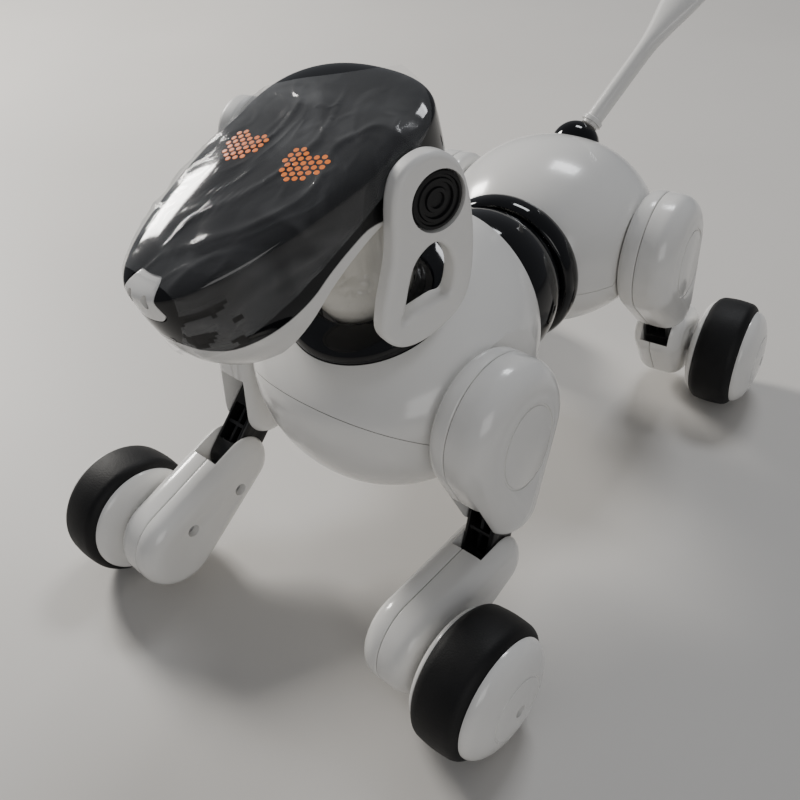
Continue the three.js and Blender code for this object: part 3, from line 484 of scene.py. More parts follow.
def wheel(leg, matrix):
    body = f"{leg}_wheel"
    side = TYRE_WIDTH / 2
    shoulder = WHEEL_RADIUS - TYRE_SHOULDER
    bore = RIM_RADIUS - 3
    tread = [(WHEEL_RADIUS - 0.35 * abs(t) ** 2, t * (side - TYRE_SHOULDER))
             for t in (-0.66, -0.33, 0, 0.33, 0.66)]
    profile = ([(bore, -side + 0.3), (RIM_RADIUS - 0.5, -side)]
               + arc(TYRE_SHOULDER, shoulder - 0.35, TYRE_SHOULDER - side, -84, -4, 9) + tread
               + arc(TYRE_SHOULDER, shoulder - 0.35, side - TYRE_SHOULDER, 4, 84, 9)
               + [(RIM_RADIUS - 0.5, side), (bore, side - 0.3)])
    rubber = revolve("tyre", profile, "X", 128, closed=True)
    finish_piece(rubber, f"tyre_rubber_{leg}", body, RUBBER, [f"tyre_{leg}"], matrix)
    face = side + 0.1
    dome = [(0, face + DOME)] + [(RIM_RADIUS * math.sin(a), face + DOME * math.cos(a))
                                 for a in (math.pi / 2 * k / 26 for k in range(1, 27))]
    hub = revolve("hub", [(0, 0.2), (bore - 0.2, 0.2), (bore - 0.2, face - 0.2), (RIM_RADIUS, face - 0.1)]
                  + dome[::-1], "X", 128)
    ring_radius = 12.2
    ring_height = face + DOME * math.sqrt(1 - (ring_radius / RIM_RADIUS) ** 2)
    groove = tube("groove", [(ring_height + 0.12, ring_radius * math.cos(a), ring_radius * math.sin(a))
                             for a in (2 * math.pi * k / 96 for k in range(96))], 0.5, closed=True, sides=8)
    carve(hub, "DIFFERENCE", groove, rod("recess", 2.3, face + DOME - 2.2, face + DOME + 4, 0, 0, 36))
    finish_piece(hub, f"hub_cap_{leg}", body, WHITE, [f"hub_outer_{leg}"], matrix, 0.15)
    screw(f"hub_screw_{leg}", (face + DOME - 2.0, 0, 0), (1, 0, 0), 1.9, matrix, body)
    inner_dome = [(RIM_RADIUS * math.sin(a), -face - INNER_DOME * math.cos(a))
                  for a in (math.pi / 2 * k / 20 for k in range(4, 21))]
    back = revolve("back", [(AXLE + RUN, -0.2), (AXLE + RUN, -face - INNER_DOME)] + inner_dome
                   + [(RIM_RADIUS, -face + 0.1), (bore - 0.2, -face + 0.2), (bore - 0.2, -0.2)],
                   "X", 96, closed=True)
    finish_piece(back, f"hub_back_{leg}", body, WHITE, [f"hub_inner_{leg}"], matrix)


def turned(axis, degrees):
    return Matrix.Rotation(math.radians(degrees), 4, axis)


def leg_pose(bend, length, ahead, below):
    """The knee below the hip, and the angles that put the axle a distance ahead of the hip and below it."""
    knee_y = -LINK_LENGTH * math.sin(math.radians(bend))
    knee_z = -THIGH_LENGTH - LINK_LENGTH * math.cos(math.radians(bend))
    upper, lean, reach = math.hypot(knee_y, knee_z), math.atan2(-knee_y, -knee_z), math.hypot(ahead, below)
    at_hip = math.acos((upper ** 2 + reach ** 2 - length ** 2) / (2 * upper * reach))
    at_knee = math.acos((upper ** 2 + length ** 2 - reach ** 2) / (2 * upper * length))
    thigh_angle = math.atan2(ahead, below) - at_hip - lean
    return (knee_y, knee_z), math.degrees(thigh_angle), math.degrees(lean + math.pi - at_knee)


def add_leg(leg, base, kind, wheel_y, side):
    (hip_y, hip_z), plane, bend, length, fold = kind
    knee, thigh_angle, shin_angle = leg_pose(bend, length, (hip_y - wheel_y) * fold, hip_z - WHEEL_RADIUS)
    root = base @ Matrix.Translation((side * plane, hip_y, hip_z)) @ Matrix.Diagonal((side, fold, 1, 1))
    upper = root @ turned("X", -thigh_angle)
    thigh(leg, upper)
    knee_link(leg, upper @ Matrix.Translation((0, 0, -THIGH_LENGTH)) @ turned("X", -bend))
    lower = upper @ Matrix.Translation((0, *knee)) @ turned("X", -shin_angle)
    shin(leg, length, lower)
    wheel(leg, lower @ Matrix.Translation((WHEEL_OFFSET, 0, -length)))


WAIST_TURN = 8.65                                   # degrees the rump is turned at rest
REAR = DESIGN @ Matrix.Translation((0, WAIST_Y, 0)) @ turned("Z", WAIST_TURN)
HIP_FRONT, HIP_REAR, LEG_PLANE, REAR_PLANE, WHEEL_OFFSET = (46, 94), (68, 94), 54.3, 51.2, 27.8
FRONT_LEG = (HIP_FRONT, LEG_PLANE, 20, 41, 1)       # hip, plane, link's bend, shin's length, folding side
REAR_LEG = (HIP_REAR, REAR_PLANE, 0, 20, -1)
add_leg("front_left", DESIGN, FRONT_LEG, 0, 1)
add_leg("front_right", DESIGN, FRONT_LEG, -24.7, -1)
add_leg("rear_left", REAR, REAR_LEG, 109, 1)
add_leg("rear_right", REAR, REAR_LEG, 109, -1)


# ------------------------------------------------------------------ egg-shaped bodies
def egg(name, form, inset=0.0, rings=56, count=128):
    """A closed egg along Y with elliptical sections; its rise above the middle line may change along it."""
    first = math.asin(max(-1, (form["from"] - form["middle"]) / (form["front"] - inset)))
    last = math.asin(min(1, (form["to"] - form["middle"]) / (form["back"] - inset)))
    sections = []
    for i in range(rings + 1):
        a = first + (last - first) * i / rings
        size = max(math.cos(a), 0.004)
        y = form["middle"] + ((form["front"] if a < 0 else form["back"]) - inset) * math.sin(a)
        ring = []
        for k in range(count):
            turn = 2 * math.pi * k / count
            up = size * math.sin(turn)
            reach = (form["rise"](y) if up > 0 else form["drop"]) - inset
            ring.append((size * math.cos(turn) * (form["width"] - inset), y, form["height"] + up * reach))
        sections.append(ring)
    return loft(name, sections)


def cube(x0, x1, y0, y1, z0, z1):
    return block("tool", x0, x1, y0, y1, z0, z1)


def sphere(radius, y, z, count=96):
    half = [(radius * math.cos(a), radius * math.sin(a))
            for a in (math.radians(-90 + 180 * k / 48) for k in range(49))]
    return moved(revolve("ball", half, "Z", count), Matrix.Translation((0, y, z)))


CHEST = {"from": 5, "middle": 50, "to": 97, "front": 45, "back": 70.5, "width": 51,
         "rise": lambda y: 18.6 + 0.36 * y, "drop": 48, "height": 97}
RUMP = {"from": 28, "middle": 67, "to": 114, "front": 52, "back": 47, "width": 48,
        "rise": lambda y: 41, "drop": 38, "height": 94}
SEAM_Y, SEAM_Z, SEAM_SLOPE = 5, 104, 0.56
NECK_Y, NECK_Z, NECK_TILT = 46, 128, 25
COLLAR, COLLAR_HOLE, COLLAR_HEIGHT, COLLAR_SEAT = 31.3, 19.2, 6, 4
NECK_LIFT, NECK_RADIUS, NOD_Y, NOD_Z, NOD_RADIUS = 6, 17.6, 41, 166, 17
WAIST_RADIUS = 33
DOOR_HALF, DOOR_FRONT, DOOR_BACK = 10, 42, 62
SLIDER_HALF, SLIDER_FRONT, SLIDER_BACK, SLIDER_TRAVEL = 2.5, 70.5, 75.5, 4
BELLY_CUT = 60                                      # height the openings in the belly are cut up to


def above_seam(lift):
    drop = FAR * SEAM_SLOPE
    return prism("seam", [(SEAM_Y - FAR, SEAM_Z + drop + lift), (SEAM_Y + FAR, SEAM_Z - drop + lift),
                          (SEAM_Y + FAR, 2 * FAR), (SEAM_Y - FAR, 2 * FAR)], FAR)


def hipped(form, inner_form, flat, hip):
    """A shell with flat hips and a round opening on each side."""
    outer = carve(egg("outer", form), "INTERSECT", cube(-flat, flat, -FAR, FAR, -FAR, FAR))
    inner = carve(egg("inner", inner_form, WALL), "INTERSECT",
                  cube(WALL - flat, flat - WALL, -FAR, FAR, -FAR, FAR))
    return carve(outer, "DIFFERENCE", inner, rod("hip", BOSS + RUN, -FAR, FAR, *hip, 96))


collar_place = Matrix.Translation((0, NECK_Y, NECK_Z)) @ turned("X", NECK_TILT)


def collar_rod(radius, low, high):
    """A cylinder on the collar's tilted axis."""
    return moved(revolve("bore", [(radius, low), (radius, high)], "Z", 128), collar_place)


chest = hipped(CHEST, {**CHEST, "to": 98}, LEG_PLANE - THIGH_IN - GAP, HIP_FRONT)
upper = carve(twin(chest, "upper"), "INTERSECT", above_seam(GAP))
carve(upper, "DIFFERENCE", collar_rod(COLLAR + GAP, -COLLAR_SEAT - GAP, FAR))
seat = carve(egg("seat", CHEST, GAP), "INTERSECT",
             collar_rod(COLLAR + 2, -COLLAR_SEAT - GAP - WALL, -COLLAR_SEAT - GAP))
carve(seat, "DIFFERENCE", collar_rod(NECK_RADIUS - 1.6, -FAR, FAR))
carve(upper, "UNION", seat)
finish_piece(upper, "chest_cover_upper", "chest", WHITE, ["chest_shell_upper"])
carve(chest, "DIFFERENCE", above_seam(0),
      cube(-DOOR_HALF - GAP, DOOR_HALF + GAP, DOOR_FRONT - GAP, DOOR_BACK + GAP, -FAR, BELLY_CUT),
      cube(-SLIDER_HALF - GAP, SLIDER_HALF + GAP, SLIDER_FRONT - GAP, SLIDER_BACK + SLIDER_TRAVEL + GAP,
           -FAR, BELLY_CUT))
finish_piece(chest, "chest_cover_lower", "chest", WHITE, ["chest_shell_lower"])

door = cube(-DOOR_HALF, DOOR_HALF, DOOR_FRONT, DOOR_BACK, 49.8, 52.2)
carve(door, "DIFFERENCE", *[cube(-6, 6, 45 + 2.2 * k, 46 + 2.2 * k, 49, 50.4) for k in range(3)],
      moved(revolve("hole", [(1.9, -3), (1.9, 3)], "Z", 32), Matrix.Translation((0, 58.2, 47.6))))
finish_piece(door, "battery_hatch", "chest", WHITE, ["battery_door"], bevel=0.3)

slider = cube(-SLIDER_HALF, SLIDER_HALF, SLIDER_FRONT, SLIDER_BACK, 50.6, 58.4)
carve(slider, "UNION", cube(-5.5, 5.5, 68.5, 77.5, 57.4, 59.0))
carve(slider, "DIFFERENCE", *[cube(-1.9, 1.9, 71.3 + 1.2 * k, 71.8 + 1.2 * k, 50, 51) for k in range(3)])
finish_piece(slider, "power_slider_cap", "power_slider", SATIN, ["power_switch"], bevel=0.15)

ring = [(COLLAR_HOLE, -COLLAR_SEAT), (COLLAR - 0.4, -COLLAR_SEAT), (COLLAR, -COLLAR_SEAT + 0.4), (COLLAR, 0)]
ring += [(COLLAR_HOLE + (COLLAR - COLLAR_HOLE) * math.cos(a), COLLAR_HEIGHT * math.sin(a))
         for a in (math.radians(5 + 77 * k / 22) for k in range(23))]
ring += [(COLLAR_HOLE + 0.6, COLLAR_HEIGHT), (COLLAR_HOLE, COLLAR_HEIGHT - 0.6)]
collar = revolve("collar", ring, "Z", 160, closed=True)
finish_piece(collar, "collar_ring", "chest", BLACK, ["neck_collar"], DESIGN @ collar_place)

# ------------------------------------------------------------------ waist
waist = sphere(WAIST_RADIUS, WAIST_Y, CHEST["height"], 128)
bulkhead = carve(egg("bulkhead", CHEST, WALL + GAP), "INTERSECT", cube(-FAR, FAR, 89, 93, -FAR, FAR))
carve(waist, "UNION", bulkhead)
mouth = moved(revolve("mouth", [(WAIST_RADIUS / 2, -40), (WAIST_RADIUS / 2, 0)], "Y", 96),
              Matrix.Translation((0, WAIST_Y, CHEST["height"])))
carve(waist, "DIFFERENCE", sphere(WAIST_RADIUS - WALL - 1, WAIST_Y, CHEST["height"]), mouth)
finish_piece(waist, "waist_ball", "chest", BLACK, ["waist_core"])

# ------------------------------------------------------------------ rump
RIM_BORE, RIM_DEPTH = 24, 11
rim_radius = RUMP["width"] * math.sqrt(1 - ((RUMP["middle"] - RUMP["from"]) / RUMP["front"]) ** 2)
rim_middle = RUMP["height"] + 1.5 * rim_radius / RUMP["width"]
low = RUMP["from"] - RIM_DEPTH
profile = [(RIM_BORE, low), (rim_radius - 1, low)]
profile += [(rim_radius - 1 + 2.4 * math.cos(a), low + RIM_DEPTH / 2 * (1 + math.sin(a)))
            for a in (math.radians(-70 + 140 * k / 18) for k in range(19))]
profile += [(rim_radius - 1, RUMP["from"] - GAP), (RIM_BORE, RUMP["from"] - GAP)]
rump_ring = moved(revolve("ring", profile, "Y", 160, closed=True),
                  Matrix.Translation((0, 0, rim_middle)))
carve(rump_ring, "DIFFERENCE", sphere(WAIST_RADIUS + RUN, 0, CHEST["height"], 128))
finish_piece(rump_ring, "rump_ring", "rump", BLACK, ["rump_rim"], REAR)

TAIL_Y, TAIL_Z, TAIL_BALL = 91, 124.5, 11
RUMP_SEAM, PORT_Z, PLUG_Y, PLUG_RADIUS = 88, 78, 98, 5
rump = hipped(RUMP, {**RUMP, "from": 27}, REAR_PLANE - THIGH_IN - GAP, HIP_REAR)
upper = carve(twin(rump, "upper"), "DIFFERENCE", cube(-FAR, FAR, -FAR, FAR, -FAR, RUMP_SEAM + GAP),
              sphere(TAIL_BALL + RUN, TAIL_Y, TAIL_Z))
finish_piece(upper, "rump_cover_upper", "rump", WHITE, ["rump_shell_upper"], REAR)
port = moved(revolve("port", [(PLUG_RADIUS + GAP, 0), (PLUG_RADIUS + GAP, 20)], "Y", 64),
             Matrix.Translation((0, 100, PORT_Z)))
carve(rump, "DIFFERENCE", cube(-FAR, FAR, -FAR, FAR, RUMP_SEAM, FAR), port)
finish_piece(rump, "rump_cover_lower", "rump", WHITE, ["rump_shell_lower"], REAR)
plug_profile = [(0, 0), (PLUG_RADIUS, 0), (PLUG_RADIUS, 11.4), (PLUG_RADIUS - 0.6, 12), (0, 12)]
plug = moved(revolve("plug", plug_profile, "Y", 64), Matrix.Translation((0, PLUG_Y, PORT_Z)))
carve(plug, "DIFFERENCE", cube(-2.6, 2.6, 109.3, 111, 76.9, 79.1))
finish_piece(plug, "charge_plug_cover", "rump", SATIN, ["charge_port_cover"], REAR)

# ------------------------------------------------------------------ tail
TAIL = REAR @ Matrix.Translation((0, TAIL_Y, TAIL_Z)) @ turned("X", 45) @ turned("Z", -18)
TAIL_LENGTH, TAIL_ROOT, PADDLE, PADDLE_HALF = 104, 3.9, 10, 4


def ease(t):
    t = min(max(t, 0), 1)
    return t * t * (3 - 2 * t)


def blade():
    """A round stalk that widens into a flat paddle with a rounded end."""
    sections = []
    for i in range(73):
        t = 1 - (1 - i / 72) ** 1.6
        spread = ease((t - 0.42) / 0.42)
        end = math.sqrt(max(1 - ((t - 0.88) / 0.12) ** 2, 1e-5)) if t > 0.88 else 1
        wide = (TAIL_ROOT + (PADDLE - TAIL_ROOT) * spread) * end
        thick = (TAIL_ROOT + (PADDLE_HALF - TAIL_ROOT) * spread) * end
        y = TAIL_BALL - 3 + t * (TAIL_LENGTH - TAIL_BALL + 3)
        sections.append([(wide * math.cos(a), y, thick * math.sin(a))
                         for a in (2 * math.pi * k / 48 for k in range(48))])
    return loft("blade", sections)


tail = carve(blade(), "DIFFERENCE", sphere(TAIL_BALL + 2 * GAP, 0, 0))
bead = [(TAIL_ROOT - 0.6, 12.2), (TAIL_ROOT + 0.9, 12.2), (TAIL_ROOT + 0.9, 14.0), (TAIL_ROOT - 0.6, 15.0)]
carve(tail, "UNION", revolve("bead", bead, "Y", 48))
finish_piece(tail, "tail_stalk", "tail_body", WHITE, ["tail"], TAIL)
knob = sphere(TAIL_BALL, 0, 0)
finish_piece(knob, "tail_knob", "tail_body", BLACK, ["tail_base"], TAIL)

# ------------------------------------------------------------------ neck, with a creased skin
tilt = math.radians(NECK_TILT)
low_y, low_z = NECK_Y - NECK_LIFT * math.sin(tilt), NECK_Z + NECK_LIFT * math.cos(tilt)
neck_run = math.hypot(NOD_Y - low_y, NOD_Z - low_z)
neck_lean = math.degrees(math.atan2(low_y - NOD_Y, NOD_Z - low_z))
NECK = DESIGN @ Matrix.Translation((0, low_y, low_z)) @ turned("X", neck_lean)


def folds(point, seed, size):
    """Sharp creases between -1 and 0 from a few warped noise layers."""
    p = Vector(point) / size + Vector((seed, 3 * seed, -seed))
    warp = noise.noise_vector(p * 0.6) * 0.8
    first = abs(noise.noise(Vector((p.x, p.y, p.z * 2.2)) + warp))
    second = abs(noise.noise(p * 2.1 + warp * 2))
    return -(max(0.0, 1 - first * 5) ** 2) * 0.7 - (max(0.0, 1 - second * 6) ** 2) * 0.3


def neck_profile(grow):
    lower = [((NECK_RADIUS + grow) * math.cos(a), (NECK_RADIUS + grow) * math.sin(a))
             for a in (math.radians(-89 + 124 * k / 60) for k in range(61))]
    upper_arc = [((NOD_RADIUS + grow) * math.cos(a), neck_run + (NOD_RADIUS + grow) * math.sin(a))
                 for a in (math.radians(-32 + 121 * k / 60) for k in range(61))]
    return lower + upper_arc


neck = revolve("neck", neck_profile(-0.05), "Z", 180)
for vertex in neck.data.vertices:
    out = Vector((vertex.co.x, vertex.co.y, 0)).normalized()
    depth = 0.9 if 4 < vertex.co.z < neck_run + 4 else 0.25
    vertex.co += out * depth * folds(vertex.co, 4, 11)
# The neck takes the darker white, which is painted shade.
finish_piece(neck, "neck_wrapped", "neck", SHADED_NECK_SKIN, ["neck_pod"], NECK, angle=80)

# ------------------------------------------------------------------ head
HEAD_Y, HEAD_Z, HEAD_TILT = 31.6, 188, 17.2
HEAD = DESIGN @ Matrix.Translation((0, HEAD_Y, HEAD_Z)) @ turned("X", HEAD_TILT)
HALF, FRONT, BACK, CROWN, DEPTH = 32.5, 75.7, 31.3, 6, 53
TAPER, BELT, PLAN = 0.165 / 60, 0.74, 0.83
LID = 2.2
NOSE_HALF, NOSE_BACK, NOSE_LOW, NOSE_TOP, NOSE_CORNER = 7.4, -60, -6.5, 3.2, 2.6


def corner(angle, exponent):
    """A point of a unit superellipse at a polar angle."""
    c, s = math.cos(angle), math.sin(angle)
    size = (abs(c) ** (2 / exponent) + abs(s) ** (2 / exponent)) ** (-exponent / 2)
    return c * size, s * size


def head_point(belt_angle, turn, inset=0.0):
    ring_size, up = corner(belt_angle, BELT)
    aside, along = corner(turn, PLAN)
    y = ((FRONT if along < 0 else BACK) - inset) * ring_size * along
    z = ((DEPTH if up < 0 else CROWN) - inset) * up
    return Vector(((HALF - inset) * (1 + TAPER * y) * ring_size * aside, y, z))


def head_form(inset=0.0, rings=84, count=168):
    sections = []
    for i in range(rings + 1):
        a = math.radians(-89.6 + 179.2 * i / rings)
        sections.append([head_point(a, 2 * math.pi * k / count, inset) for k in range(count)])
    form = loft("form", sections)
    work = bmesh.new()
    work.from_mesh(form.data)
    middle = [v for v in work.verts if -20 < v.co.z]
    for _ in range(26):
        bmesh.ops.smooth_vert(work, verts=middle, factor=0.5,
                              use_axis_x=True, use_axis_y=True, use_axis_z=True)
    work.to_mesh(form.data)
    work.free()
    return form


VISOR_CURVE = spline([(-71, -19.6, 0), (-65, -23.6, 0), (-57, -24.6, 0), (-49, -23.6, 0), (-41, -21, 0),
                      (-33, -16.8, 0), (-25, -13.8, 0), (-17, -12.3, 0), (-8, -15, 0)], 6)
VISOR_LINE = [(-120, -13), (-74.5, -15)] + [(p[0], p[1]) for p in VISOR_CURVE] + [(120, -15)]
JAW_CURVE = spline([(-52, -38, 0), (-43, -30, 0), (-33, -21.5, 0), (-20, -16, 0), (-10, -14, 0)], 6)
JAW_LINE = [(-120, -38)] + [(p[0], p[1]) for p in JAW_CURVE] + [(120, -14)]


def above(line, lift=0.0):
    return prism("above", [(y, z + lift) for y, z in line] + [(line[-1][0], FAR), (line[0][0], FAR)], FAR)


EAR_X, EAR_Y, EAR_Z, EAR_TOE, EAR_HALF = 38.4, 0.7, -12.8, 14, 3.5
EAR_BORE, EAR_DISC = 4.3, 8.8


def ear_bore(side, radius):
    bore = rod("bore", radius, -13 if side > 0 else 0, 0 if side > 0 else 13)
    place = Matrix.Translation((side * EAR_X, EAR_Y, EAR_Z))
    return moved(bore, place @ turned("X", -HEAD_TILT) @ turned("Z", -side * EAR_TOE))


def nose_block(clear):
    """A rounded trapezoid, narrower at the top, carried through the tip of the nose."""
    low, high = NOSE_LOW - clear, NOSE_TOP + clear
    corners = [(-1.0, low), (1.0, low), (0.86, high), (-0.86, high)]
    outline = []
    for i, (share, z) in enumerate(corners):
        x = share * (NOSE_HALF + clear)
        start = (180, 270, 0, 90)[i]
        inner_x = x - math.copysign(NOSE_CORNER, x)
        inner_z = z + (NOSE_CORNER if i < 2 else -NOSE_CORNER)
        outline += [(inner_x + NOSE_CORNER * math.cos(math.radians(start + 15 * k)),
                     inner_z + NOSE_CORNER * math.sin(math.radians(start + 15 * k))) for k in range(7)]
    return loft("nose", [[(x, y, z) for x, z in outline] for y in (-FAR, NOSE_BACK)])


outer_form = head_form()
crown_tree = BVHTree.FromPolygons([v.co.copy() for v in outer_form.data.vertices],
                                  [tuple(p.vertices) for p in outer_form.data.polygons])


def over_crown(x, y):
    """Height of the head's top surface over a point of its plan."""
    return crown_tree.ray_cast(Vector((x, y, 60)), Vector((0, 0, -1)))[0].z


shell = carve(outer_form, "DIFFERENCE", head_form(LID), ear_bore(1, EAR_BORE), ear_bore(-1, EAR_BORE))
carve(shell, "INTERSECT", above(JAW_LINE))
nose = carve(twin(shell, "nose_cover"), "INTERSECT", nose_block(0))
visor = carve(twin(shell, "visor_cover"), "INTERSECT", above(VISOR_LINE))
carve(visor, "DIFFERENCE", nose_block(GAP))
finish_piece(visor, "visor_shield", "head", BLACK, ["visor"], HEAD, angle=40)
carve(shell, "DIFFERENCE", above(VISOR_LINE, -GAP))
finish_piece(shell, "jaw_band", "head", WHITE, ["face_frame"], HEAD, angle=40)
for side, word in ((-1, "right"), (1, "left")):
    slant = Matrix.Translation((side * 3.2, -73.4, -0.9)) @ turned("X", -38) @ Matrix.Diagonal((1, 1, 1.7, 1))
    hole = moved(revolve("nostril", [(1.15, -8), (1.15, 6)], "Y", 40), slant)
    carve(nose, "DIFFERENCE", hole)
    # A dark cup just inside each nostril hole: painted shade in the hole.
    shade_cup = moved(revolve("shade_cup", [(1.5, 2.2), (1.5, 3.0)], "Y", 32), slant)
    finish_piece(shade_cup, f"nostril_{word}", "head", NOSTRIL_SHADE, matrix=HEAD)
finish_piece(nose, "nose_cap", "head", WHITE, ["nose_plate"], HEAD, angle=40)

nod_y, nod_z = NOD_Y - HEAD_Y, NOD_Z - HEAD_Z
pitch = math.radians(-HEAD_TILT)
nod_y, nod_z = (nod_y * math.cos(pitch) - nod_z * math.sin(pitch),
                nod_y * math.sin(pitch) + nod_z * math.cos(pitch))
base = carve(head_form(LID + 2 * GAP), "INTERSECT", above(JAW_LINE))
carve(base, "DIFFERENCE", above(JAW_LINE, 3))
socket = sphere(NOD_RADIUS + RUN + WALL, nod_y, nod_z)
carve(socket, "DIFFERENCE", cube(-FAR, FAR, -FAR, FAR, -FAR, nod_z + 2.5))
carve(base, "UNION", socket)
carve(base, "DIFFERENCE", sphere(NOD_RADIUS + RUN + GAP, nod_y, nod_z),
      ear_bore(1, EAR_BORE), ear_bore(-1, EAR_BORE))
finish_piece(base, "chin_plate", "head", WHITE, ["head_base"], HEAD, angle=40)


def heart(x, y):
    """Whether a point of a unit square lies in a heart whose tip points to -y."""
    return (x * x + y * y - 1) ** 3 - x * x * y ** 3 <= 0


def lamp_dots(middle, name):
    """Round lamps on a hexagonal grid that fill a heart, seen through the smoked visor."""
    work = bmesh.new()
    pitch = 2.35
    for column in range(-4, 5):
        for row in range(-4, 5):
            dx = column * pitch * 0.866
            dy = (row + 0.5 * (column % 2)) * pitch
            if not heart(dx / 6.6, dy / 6.4 + 0.05):
                continue
            x, y = middle[0] + dx, middle[1] + dy
            top = Vector((x, y, over_crown(x, y) + 0.05))
            slope_x = over_crown(x + 0.5, y) - over_crown(x - 0.5, y)
            slope_y = over_crown(x, y + 0.5) - over_crown(x, y - 0.5)
            turn = Vector((0, 0, 1)).rotation_difference(Vector((-slope_x, -slope_y, 1))).to_matrix().to_4x4()
            place = Matrix.Translation(top) @ turn
            bmesh.ops.create_cone(work, cap_ends=True, segments=20, radius1=0.88, radius2=0.74, depth=0.16,
                                  matrix=place)
    mesh = bpy.data.meshes.new(name)
    work.to_mesh(mesh)
    work.free()
    lamps = bpy.data.objects.new(name, mesh)
    bpy.context.scene.collection.objects.link(lamps)
    return lamps


for side, word in ((1, "left"), (-1, "right")):
    lamps = lamp_dots((side * 12.4, -20.5), f"eye_{word}")
    finish_piece(lamps, f"eye_lamps_{word}", "head", GLOW, matrix=HEAD)

# ------------------------------------------------------------------ clear film left on the visor
def film_sheet():
    """A thin creased patch that follows the visor, cut by three planes, with a lifted back edge."""
    patch = head_form(-0.5, 120, 240)
    work = bmesh.new()
    work.from_mesh(patch.data)
    bpy.data.objects.remove(patch)
    cuts = [((0, -55, -19), (0, -0.30, 1)), ((0, 19, 0), (0.35, -1, 0)), ((0, -70.5, 0), (0.05, 1, -0.18))]
    for place, keep in cuts:
        everything = work.verts[:] + work.edges[:] + work.faces[:]
        bmesh.ops.bisect_plane(work, geom=everything, plane_co=place, plane_no=keep, clear_inner=True)
    torn = [f for f in work.faces if noise.noise(f.calc_center_median() * 0.16) > 0.12
            and f.calc_center_median().y < -60 and f.calc_center_median().z < -4]
    bmesh.ops.delete(work, geom=torn, context="FACES")
    work.normal_update()
    moves = []
    for vertex in work.verts:
        place = vertex.co
        crease = -folds(Vector((place.x, place.y * 0.6, place.z)), 9, 17) * ease((16 - place.y) / 12)
        bubble = max(0.0, noise.noise(place * 0.09 + Vector((3, 1, 7)))) * 0.9
        lift = max(0.0, place.y - 9) ** 2 * 0.02 if place.z > -4 else 0
        moves.append(vertex.normal * (0.75 * crease + bubble) + Vector((0, 0.3 * lift, lift)))
    for vertex, move in zip(work.verts, moves):
        vertex.co += move
    mesh = bpy.data.meshes.new("film")
    work.to_mesh(mesh)
    work.free()
    sheet = bpy.data.objects.new("film", mesh)
    bpy.context.scene.collection.objects.link(sheet)
    return sheet


film = film_sheet()
finish_piece(film, "visor_film", "head", FILM, matrix=HEAD, angle=80)

# ------------------------------------------------------------------ ears
OUTLINE = [(-1, 14.6), (-10.5, 12), (-14.8, 4), (-16.3, -13), (-20.5, -29), (-20.8, -38),
           (-14, -44.4), (-3, -44), (8.7, -37), (12.8, -24), (12.4, -5), (8, 9)]
OPENING = [(-2, -13), (-8.7, -17.9), (-12.5, -29.9), (-14.2, -35.4), (-9.4, -33.3), (-1, -31.5),
           (3.6, -31), (5.4, -23), (3, -16)]


def inward(points, amount):
    """A closed outline moved towards its inside."""
    out = []
    total = len(points)
    area = sum(a[0] * b[1] - b[0] * a[1] for a, b in zip(points, points[1:] + points[:1]))
    sign = 1 if area > 0 else -1
    for i in range(total):
        after, before = points[(i + 1) % total], points[i - 1]
        ahead_y, ahead_z = after[0] - before[0], after[1] - before[1]
        size = math.hypot(ahead_y, ahead_z) or 1
        out.append((points[i][0] - sign * amount * ahead_z / size,
                    points[i][1] + sign * amount * ahead_y / size))
    return out


def plate(name, outline, stations):
    return loft(name, [[(x, y, z) for y, z in inward(outline, inset)] for x, inset in stations])


def even(points, count):
    """Points spaced evenly along a closed curve."""
    curve = [Vector(p) for p in points]
    curve.append(curve[0])
    lengths = [0.0]
    for a, b in zip(curve, curve[1:]):
        lengths.append(lengths[-1] + (b - a).length)
    out, at = [], 0
    for k in range(count):
        want = lengths[-1] * k / count
        while lengths[at + 1] < want:
            at += 1
        share = (want - lengths[at]) / (lengths[at + 1] - lengths[at])
        p = curve[at].lerp(curve[at + 1], share)
        out.append((p.x, p.y))
    return out


rim_curve = even(spline([(y, z, 0) for y, z in OUTLINE], 12, closed=True), 160)
hole_curve = even(spline([(y, z, 0) for y, z in OPENING], 12, closed=True), 120)
for side, word in ((1, "left"), (-1, "right")):
    EAR = HEAD @ Matrix.Diagonal((side, 1, 1, 1)) @ Matrix.Translation((EAR_X, EAR_Y, EAR_Z))
    EAR = EAR @ turned("X", -HEAD_TILT) @ turned("Z", -EAR_TOE)
    rounds = [(EAR_HALF - 2.2 * (1 - math.sin(a)), 2.2 * (1 - math.cos(a)))
              for a in (math.pi / 2 * k / 7 for k in range(8))]
    ear = plate("ear", rim_curve, [(-x, inset) for x, inset in rounds[::-1]] + rounds)
    flare = [(EAR_HALF - 1.8 * (1 - math.sin(a)), -1.8 * (1 - math.cos(a)))
             for a in (math.pi / 2 * k / 7 for k in range(8))]
    flare.append((EAR_HALF + 1, -1.8))
    opening = plate("opening", hole_curve, [(-x, inset) for x, inset in flare[::-1]] + flare)
    carve(ear, "DIFFERENCE", opening, rod("hub", 9.4, -10, 10, 0, 0, 96))
    finish_piece(ear, f"ear_plate_{word}", f"{word}_ear", SATIN_WHITE, [f"ear_{word}"], EAR,
                 angle=40)
    face = EAR_HALF - 0.6
    steps = [(0, face - 0.9), (2.2, face - 0.9), (2.5, face - 0.2), (3.6, face - 0.2), (3.9, face - 0.8),
             (5.2, face - 0.8), (5.5, face), (6.4, face), (6.7, face - 0.5), (7.4, face - 0.5),
             (7.7, face + 0.1), (8.5, face), (EAR_DISC, face - 0.4)]
    hub = revolve("hub", [(0, -13), (4, -13), (4, -EAR_HALF), (EAR_DISC, -EAR_HALF)] + steps[::-1], "X", 96)
    finish_piece(hub, f"ear_disc_{word}", "head", SATIN, [f"ear_hub_{word}"], EAR)

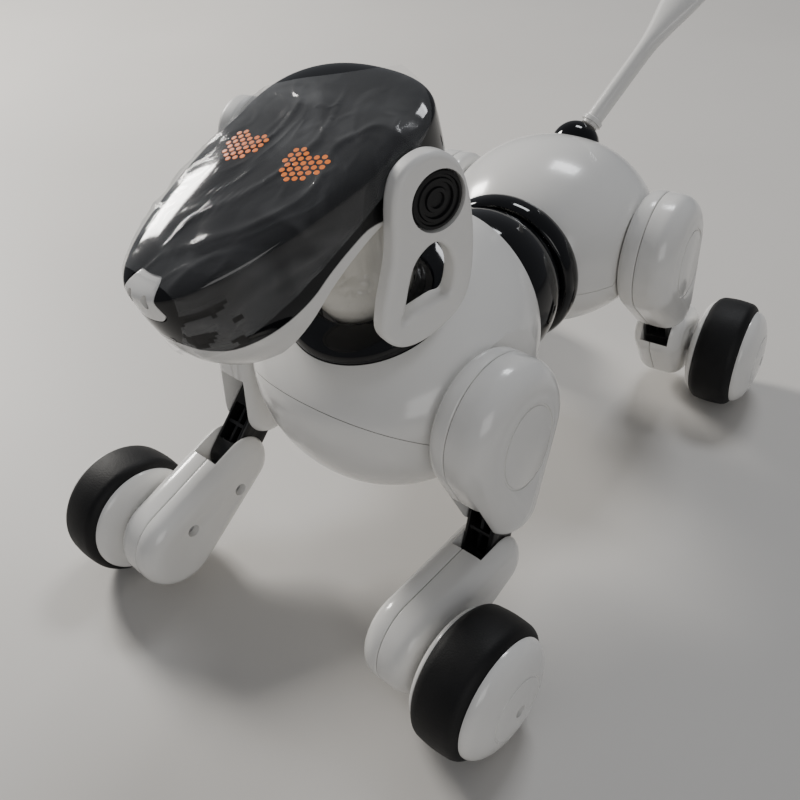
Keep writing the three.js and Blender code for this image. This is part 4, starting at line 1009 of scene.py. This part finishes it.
# ------------------------------------------------------------------ the pieces that stay inside
INSIDE = {"battery_pack": (WRAP, "cell_wrap"), "main_board": (BOARD, "circuit_board"),
          "speaker": (SATIN, "satin_black"), "neck_servo": (SATIN, "satin_black"),
          "waist_servo": (SATIN, "satin_black"), "tail_servo": (SATIN, "satin_black"),
          "eye_panel": (BOARD, "circuit_board")}
for name, (look, slot) in INSIDE.items():
    node = frame["nodes"][name]
    node.data.materials.clear()
    node.data.materials.append(look)

# ------------------------------------------------------------------ floor, lights and camera
floor = build("floor", [(-4, -4, 0), (4, -4, 0), (4, 4, 0), (-4, 4, 0)], [(0, 1, 2, 3)])
floor.data.materials.append(material("floor_paint", (0.62, 0.60, 0.57), 0.55, 0.08, scale=3, tint=0.03))
floor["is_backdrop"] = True


def area_light(name, place, target, size, power, color=(1, 1, 1)):
    lamp = bpy.data.lights.new(name, "AREA")
    lamp.shape = "RECTANGLE"
    lamp.size, lamp.size_y = size
    lamp.energy = power
    lamp.color = color
    obj = bpy.data.objects.new(name, lamp)
    obj.location = place
    obj.rotation_euler = (Vector(target) - Vector(place)).to_track_quat("-Z", "Y").to_euler()
    bpy.context.scene.collection.objects.link(obj)
    return obj


MIDDLE = (0, 0, 0.1)
area_light("key", (-1.25, 0.1, 0.75), MIDDLE, (0.26, 0.34), 19, (1.0, 0.97, 0.92))
area_light("top", (-0.2, 0.9, 1.5), MIDDLE, (0.5, 0.3), 9, (0.95, 0.97, 1.0))
area_light("fill", (1.3, -0.9, 0.8), MIDDLE, (0.8, 0.8), 5, (1.0, 0.99, 0.97))
world = bpy.data.worlds.new("studio")
world.use_nodes = True
sky = world.node_tree.nodes["Background"]
sky.inputs["Color"].default_value = (0.9, 0.93, 1.0, 1)
sky.inputs["Strength"].default_value = 0.2
bpy.context.scene.world = world

CAMERA_PLACE = Vector((0.19613, -0.25165, 0.28552))
AZIMUTH, ELEVATION, ROLL = math.radians(43.67), math.radians(37.953), math.radians(-3.80)
back = Vector((math.sin(AZIMUTH) * math.cos(ELEVATION), -math.cos(AZIMUTH) * math.cos(ELEVATION),
               math.sin(ELEVATION)))
right = (-back).cross(Vector((0, 0, 1))).normalized()
up = right.cross(-back)
across = math.cos(ROLL) * right + math.sin(ROLL) * up
over = -math.sin(ROLL) * right + math.cos(ROLL) * up
lens = bpy.data.cameras.new("camera")
lens.sensor_width = 36
lens.lens = 39.92
lens.clip_start = 0.01
camera = bpy.data.objects.new("camera", lens)
camera.matrix_world = Matrix.Translation(CAMERA_PLACE) @ Matrix((across, over, back)).transposed().to_4x4()
bpy.context.scene.collection.objects.link(camera)
bpy.context.scene.camera = camera

low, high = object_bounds()
